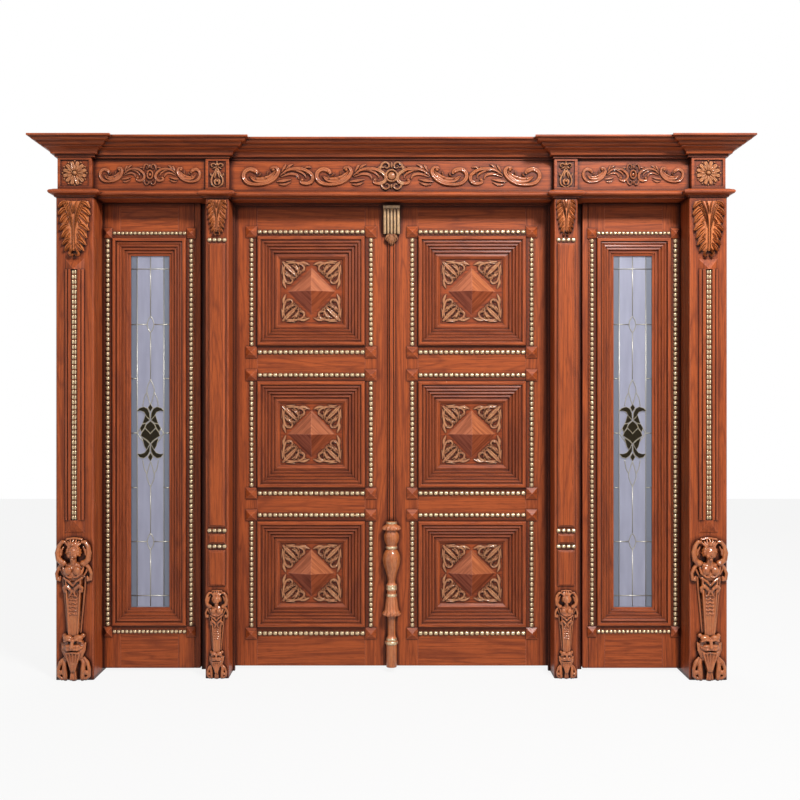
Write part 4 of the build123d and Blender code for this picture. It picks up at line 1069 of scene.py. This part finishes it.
# Lion masks over scrolled feet: one block of wood at the foot of each post, carved in the
# round. It stands on the floor and is glued to the post below the herm.
def build_lion(shape):
    """The mask with its mane, a taper of beard, two scrolled feet and the stem between them."""
    add_blob(shape, (0, 188, 8), (54, 48, 28))
    for way in (-1, 1):
        add_blob(shape, (way * 26, 226, 30), (27, 17, 18))
        add_limb(shape, ((way * 4, 212, 42, 5), (way * 22, 218, 45, 6), (way * 44, 208, 34, 6)))
        add_blob(shape, (way * 24, 203, 34), (9, 4.5, 6))
        add_blob(shape, (way * 20, 184, 38), (22, 12, 15))
        add_limb(shape, ((way * 4, 170, 48, 7), (way * 24, 168, 44, 8), (way * 44, 176, 30, 8)))
        add_limb(shape, ((way * 4, 152, 40, 6), (way * 24, 148, 36, 7), (way * 42, 156, 26, 7)))
        for i in range(4):
            across, low = 56 - 9 * i, 128 - 5 * i
            add_limb(shape, ((way * (across + 3), 196 - 6 * i, 14 + 3 * i, 6),
                             (way * across, 160, 20 + 3 * i, 6.5), (way * (across - 13), low, 20 + 2 * i, 6),
                             (way * (across - 24), low - 18, 16, 4)), 0.5)
        add_blob(shape, (way * 46, 234, 14), (14, 13, 12))
        add_limb(shape, ((way * 36, 118, 6, 10), (way * 48, 92, 10, 14), (way * 48, 56, 14, 16),
                         (way * 44, 12, 12, 14)))
        add_limb(shape, ((way * 50, 118, 8, 8), (way * 70, 96, 14, 10), (way * 80, 62, 16, 10),
                         (way * 78, 26, 14, 10), (way * 62, 10, 14, 9)))
        add_blob(shape, (way * 66, 44, 20), (11, 13, 9))
        add_limb(shape, ((way * 9, 122, 26, 4.5), (way * 8, 60, 24, 4.5), (way * 15, 8, 24, 5)))
    add_limb(shape, ((0, 214, 42, 8), (0, 192, 48, 10), (0, 180, 51, 12)))
    add_taper(shape, 52, 158, 15, 46, -4, 34)
    for u in (0, 7, 14):
        for way in (-1, 1):
            add_limb(shape, ((way * u * 0.8, 60, 34, 3.5), (way * u * 2.6, 150, 37, 4.5)), 0.6)
    add_limb(shape, ((0, 138, 18, 16), (0, 100, 12, 15), (0, 60, 8, 14), (0, 10, 8, 18)))


carved_in_the_round("outer_lion_carving", build_lion,
                    [(way * outer_post_centre, 0.0, post_front, 1.0) for way in (-1, 1)],
                    "frame", outer_cell, outer_share, "outer_lion_feet")
carved_in_the_round("inner_lion_carving", build_lion,
                    [(way * inner_post_centre, 0.0, inner_front, 0.60) for way in (-1, 1)],
                    "frame", inner_cell, inner_share, "inner_lion_feet")


# Baluster: turned from one length, ringed in gold, sawn flat at the back and fixed to the
# meeting bead. It serves as the pull. A small leaf hangs under the console above it.
# The profile and the other lists hold (radius, height) or (low, high) in millimetres.
baluster_profile = (
    (28, 26), (29, 32), (29, 146), (34, 150), (35, 158), (33, 164), (28, 167), (30, 173), (27, 181),
    (22, 186), (21, 200), (21, 280), (24, 296), (42, 303), (46, 310), (43, 318), (37, 328), (33, 354),
    (27, 398), (26, 403), (29, 407), (29, 412), (25, 417), (24, 434), (29, 440), (30, 447), (27, 452),
    (29, 458), (28, 465), (21, 472), (20, 486), (22, 500), (26, 516), (33, 540), (41, 564), (46, 584),
    (48, 600), (47, 614), (43, 630), (35, 646), (27, 656), (31, 660), (32, 666), (29, 672), (27, 677),
    (33, 688), (38, 702), (41, 716), (41, 728), (38, 740), (32, 750), (33, 756), (45, 761), (47, 768),
    (42, 777), (33, 786), (28, 792), (30, 797), (29, 803), (3, 806),
)
gold_rings = ((147, 165), (167, 181), (404, 415), (437, 468), (657, 674), (790, 804))
fluted_lengths = ((296, 324, 0.09), (757, 780, 0.09), (324, 402, 0.05))
baluster_axis, astragal_front = 0.0885, 0.1065
sides, flute_count = 48, 12
shape = bmesh.new()
rings = []
for radius, height in baluster_profile:
    flute = next((depth for low, high, depth in fluted_lengths if low < height < high), 0.0)
    ring = []
    for j in range(sides):
        turn = 2 * math.pi * j / sides
        reach = radius / 1000 * (1 + flute * math.cos(flute_count * turn))
        flat_y = min(astragal_front, baluster_axis + reach * math.sin(turn))
        ring.append(shape.verts.new((reach * math.cos(turn), flat_y, height / 1000)))
    rings.append((height, ring))
for (z_low, low), (z_high, high) in zip(rings, rings[1:]):
    middle = (z_low + z_high) / 2
    gilded = any(ring_low < middle < ring_high for ring_low, ring_high in gold_rings)
    for j in range(sides):
        face = shape.faces.new((low[j], low[(j + 1) % sides], high[(j + 1) % sides], high[j]))
        face.smooth = True
        face.material_index = 1 if gilded else 0
shape.faces.new(rings[0][1][::-1])
shape.faces.new(rings[-1][1])
turned_piece = carved_piece("baluster_turning", shape, "right_leaf", "baluster", paint=figure_wood)
turned_piece.data.materials.append(bead_gold)

pendant_strokes = (
    ((2, -2, 8), (6, -26, 18), (3, -62, 4)),
    ((6, -2, 8), (20, -10, 16), (30, -26, 8), (24, -36, 5)),
    ((6, -12, 8), (18, -26, 14), (22, -42, 5)),
    ((4, -24, 8), (12, -40, 12), (12, -54, 4)),
)
pendant_head, pendant_rise = 2.348, 0.0135
shape = bmesh.new()
for turned in (-1, 1):
    for points in pendant_strokes:
        carve_stroke(shape, points, astragal_front, pendant_rise, (0, pendant_head), (turned, 1.0), 0.4)
carved_piece("pendant_carving", shape, "right_leaf", "pendant_leaf", paint=gilt_wood)


# Console: a reeded bracket of gilded wood at the head of the meeting bead, under the head
# beam. It is fixed to the right leaf and stands 2 mm clear of the left one. Its side view
# holds (height, reach) in millimetres.
console_wood = lacquered_wood("console_wood", 2, (0.24, 0.13, 0.06, 1), (0.56, 0.38, 0.22, 1), 0.6, 0.5)
console_side = (
    (2348, 24), (2354, 27), (2362, 31), (2376, 37), (2394, 44), (2414, 49), (2436, 52), (2458, 53),
    (2472, 53), (2480, 50), (2484, 55), (2490, 58), (2496, 57), (2498, 52),
)
console_half, reed_count, reed_rise, reed_top, points_a_reed = 0.044, 5, 0.0075, 2478, 8
lap_gap, lap_edge = 0.002, 0.002
shape = bmesh.new()
loops = []
for height, reach in console_side:
    back_points = [(-console_half, leaf_front - lap_gap), (lap_edge, leaf_front - lap_gap),
                   (lap_edge, leaf_front), (console_half, leaf_front)]
    loop = list(back_points)
    for i in range(reed_count * points_a_reed + 1):
        swell = abs(math.sin(math.pi * i / points_a_reed)) ** 0.7 if height < reed_top else 1.0
        loop.append((console_half - 2 * console_half * i / (reed_count * points_a_reed),
                     leaf_front - reach / 1000 + reed_rise * (1 - swell)))
    loops.append([shape.verts.new((x, y, height / 1000)) for x, y in loop])
for low, high in zip(loops, loops[1:]):
    for i in range(len(low)):
        follow = (i + 1) % len(low)
        shape.faces.new((low[i], low[follow], high[follow], high[i])).smooth = i >= len(back_points)
shape.faces.new(loops[0][::-1])
shape.faces.new(loops[-1])
carved_piece("console_reeds", shape, "right_leaf", "console", paint=console_wood)


# Leaded lights: metal cames on the pane's face, and among them a lotus of thick dark olive
# glass, each piece ground to a bevel and held in its own gilded came. The drawing holds
# (across, up) in millimetres from the middle of the pane.
olive_glass = aged_metal("olive_glass", (0.005, 0.004, 0.0015, 1), (0.022, 0.015, 0.005, 1), 0.24, 0.36, 40.0)
olive_shader = olive_glass.node_tree.nodes["Principled BSDF"]
olive_shader.inputs["Metallic"].default_value = 0.0
olive_shader.inputs["Specular IOR Level"].default_value = 0.12
gilt_came = aged_metal("gilt_came", (0.30, 0.24, 0.13, 1), (0.66, 0.58, 0.40, 1), 0.22, 0.36, 90.0)
pane_front, pane_middle = 0.1215, 1.2765
pane_half, pane_low, pane_high = 103, -932, 952
came_wide, came_rise = 5.0, 0.0034
bar_offset, waist_reach, stub_height, end_bars = 72, 70, 294, (-876, 885)
oval_middles, oval_half, oval_wide = (-585, 586), 43, 18
oval_edge = ((0, oval_half), (11, 27), (oval_wide, 0), (11, -27), (0, -oval_half))
bud_tip = 288
bud_edge = ((0, bud_tip), (13, 260), (20, 228), (11, 186), (0, 154))
petal_line = ((20, 218), (34, 190), (42, 146))
waist_line = ((26, 62), (54, 26), (waist_reach, 0))


def lay_came(shape, points, x, closed=False):
    """A half-round strip of lead along a line of (across, up) points on the pane."""
    rows = []
    for i, (u, v) in enumerate(points):
        before = points[i - 1] if closed or i else points[0]
        after = points[(i + 1) % len(points)] if closed or i + 1 < len(points) else points[-1]
        length = math.hypot(after[0] - before[0], after[1] - before[1])
        side = (-(after[1] - before[1]) / length, (after[0] - before[0]) / length)
        row = []
        for s in (-1.0, -0.6, 0.0, 0.6, 1.0):
            reach = s * came_wide / 2
            row.append(shape.verts.new((x + (u + side[0] * reach) / 1000,
                                        pane_front - came_rise * math.sqrt(1 - s * s),
                                        pane_middle + (v + side[1] * reach) / 1000)))
        rows.append(row)
    for low, high in zip(rows, rows[1:] + rows[:1] if closed else rows[1:]):
        for j in range(4):
            shape.faces.new((low[j], low[j + 1], high[j + 1], high[j])).smooth = True
        shape.faces.new((low[-1], low[0], high[0], high[-1]))
    if not closed:
        shape.faces.new(rows[0][::-1])
        shape.faces.new(rows[-1])


def curved_came(shape, points, x):
    """A came along a smooth line through the points."""
    lay_came(shape, [(u, v) for u, v, _ in smooth_line([(u, v, 0) for u, v in points], 6)], x)


for side, way in (("left", -1), ("right", 1)):
    x = way * light_centre
    shape = bmesh.new()
    for across in (-bar_offset, bar_offset):
        lay_came(shape, ((across, pane_low), (across, pane_high)), x)
    low_oval, high_oval = oval_middles
    for low, high in ((pane_low, low_oval - oval_half), (low_oval + oval_half, -bud_tip),
                      (bud_tip, high_oval - oval_half), (high_oval + oval_half, pane_high)):
        lay_came(shape, ((0, low), (0, high)), x)
    for up in end_bars:
        lay_came(shape, ((-pane_half, up), (pane_half, up)), x)
    for turned in (-1, 1):
        lay_came(shape, ((turned * waist_reach, 0), (turned * pane_half, 0)), x)
        for up in oval_middles:
            lay_came(shape, ((turned * oval_wide, up), (turned * pane_half, up)), x)
            curved_came(shape, [(turned * u, up + v) for u, v in oval_edge], x)
        for up in (-1, 1):
            stub = ((turned * bar_offset, up * stub_height), (turned * pane_half, up * stub_height))
            lay_came(shape, stub, x)
            for line in (bud_edge, petal_line, waist_line):
                curved_came(shape, [(turned * u, up * v) for u, v in line], x)
    name = f"light_cames_{side}"
    shown_piece(name, finished_mesh(name, shape), came_metal, "frame", "cames", f"sidelight_cames_{side}")

bevel_outlines = (
    ((0, 158), (14, 137), (0, 115), (-14, 137)),
    ((2, 74), (20, 90), (34, 113), (52, 121), (74, 119), (60, 135), (36, 143), (16, 133), (4, 108)),
    ((3, 70), (16, 84), (27, 98), (42, 52), (24, 54)),
    ((0, 66), (22, 47), (29, 30), (14, 13), (0, -1), (-14, 13), (-29, 30), (-22, 47)),
    ((24, 52), (44, 49), (57, 26), (48, 6), (31, 28)),
    ((0, -4), (14, 11), (30, 25), (46, 4), (53, -14), (32, -28), (13, -42), (0, -57), (-13, -42), (-32, -28),
     (-53, -14), (-46, 4), (-30, 25), (-14, 11)),
    ((3, -58), (22, -39), (43, -26), (32, -72), (20, -90)),
    ((2, -62), (14, -84), (32, -105), (52, -113), (72, -111), (58, -131), (36, -136), (14, -120), (3, -98)),
    ((0, -106), (14, -129), (0, -152), (-14, -129)),
)
bevel_rise, rim, rim_step, glass_share = 0.0062, 1.6, 0.2, 0.75


def set_bevel(shape, outline, x):
    """One glass piece with a metal edge: a low rim round it, then the ground face inside."""
    count = len(outline)
    middle_u = sum(u for u, _ in outline) / count
    middle_v = sum(v for _, v in outline) / count
    loops = []
    for inset, rise in ((0.0, 0.0), (0.0, bevel_rise), (rim, bevel_rise),
                        (rim + rim_step, bevel_rise * glass_share)):
        loop = []
        for u, v in outline:
            share = 1 - inset / math.hypot(u - middle_u, v - middle_v)
            loop.append(shape.verts.new((x + (middle_u + (u - middle_u) * share) / 1000, pane_front - rise,
                                         pane_middle + (middle_v + (v - middle_v) * share) / 1000)))
        loops.append(loop)
    for low, high in zip(loops, loops[1:]):
        for i in range(count):
            face = shape.faces.new((low[i], low[(i + 1) % count], high[(i + 1) % count], high[i]))
            face.material_index = 1
    shape.faces.new(loops[0][::-1])
    shape.faces.new(loops[-1])


for side, way in (("left", -1), ("right", 1)):
    shape = bmesh.new()
    for outline in bevel_outlines:
        mirrored = [(-u, v) for u, v in outline[::-1]]
        on_the_middle = min(u for u, _ in outline) < 0
        for points in (outline,) if on_the_middle else (outline, mirrored):
            set_bevel(shape, points, way * light_centre)
    name = f"lotus_bevels_{side}"
    lotus = shown_piece(name, finished_mesh(name, shape), olive_glass, "frame", "frosted_glass")
    lotus.data.materials.append(gilt_came)
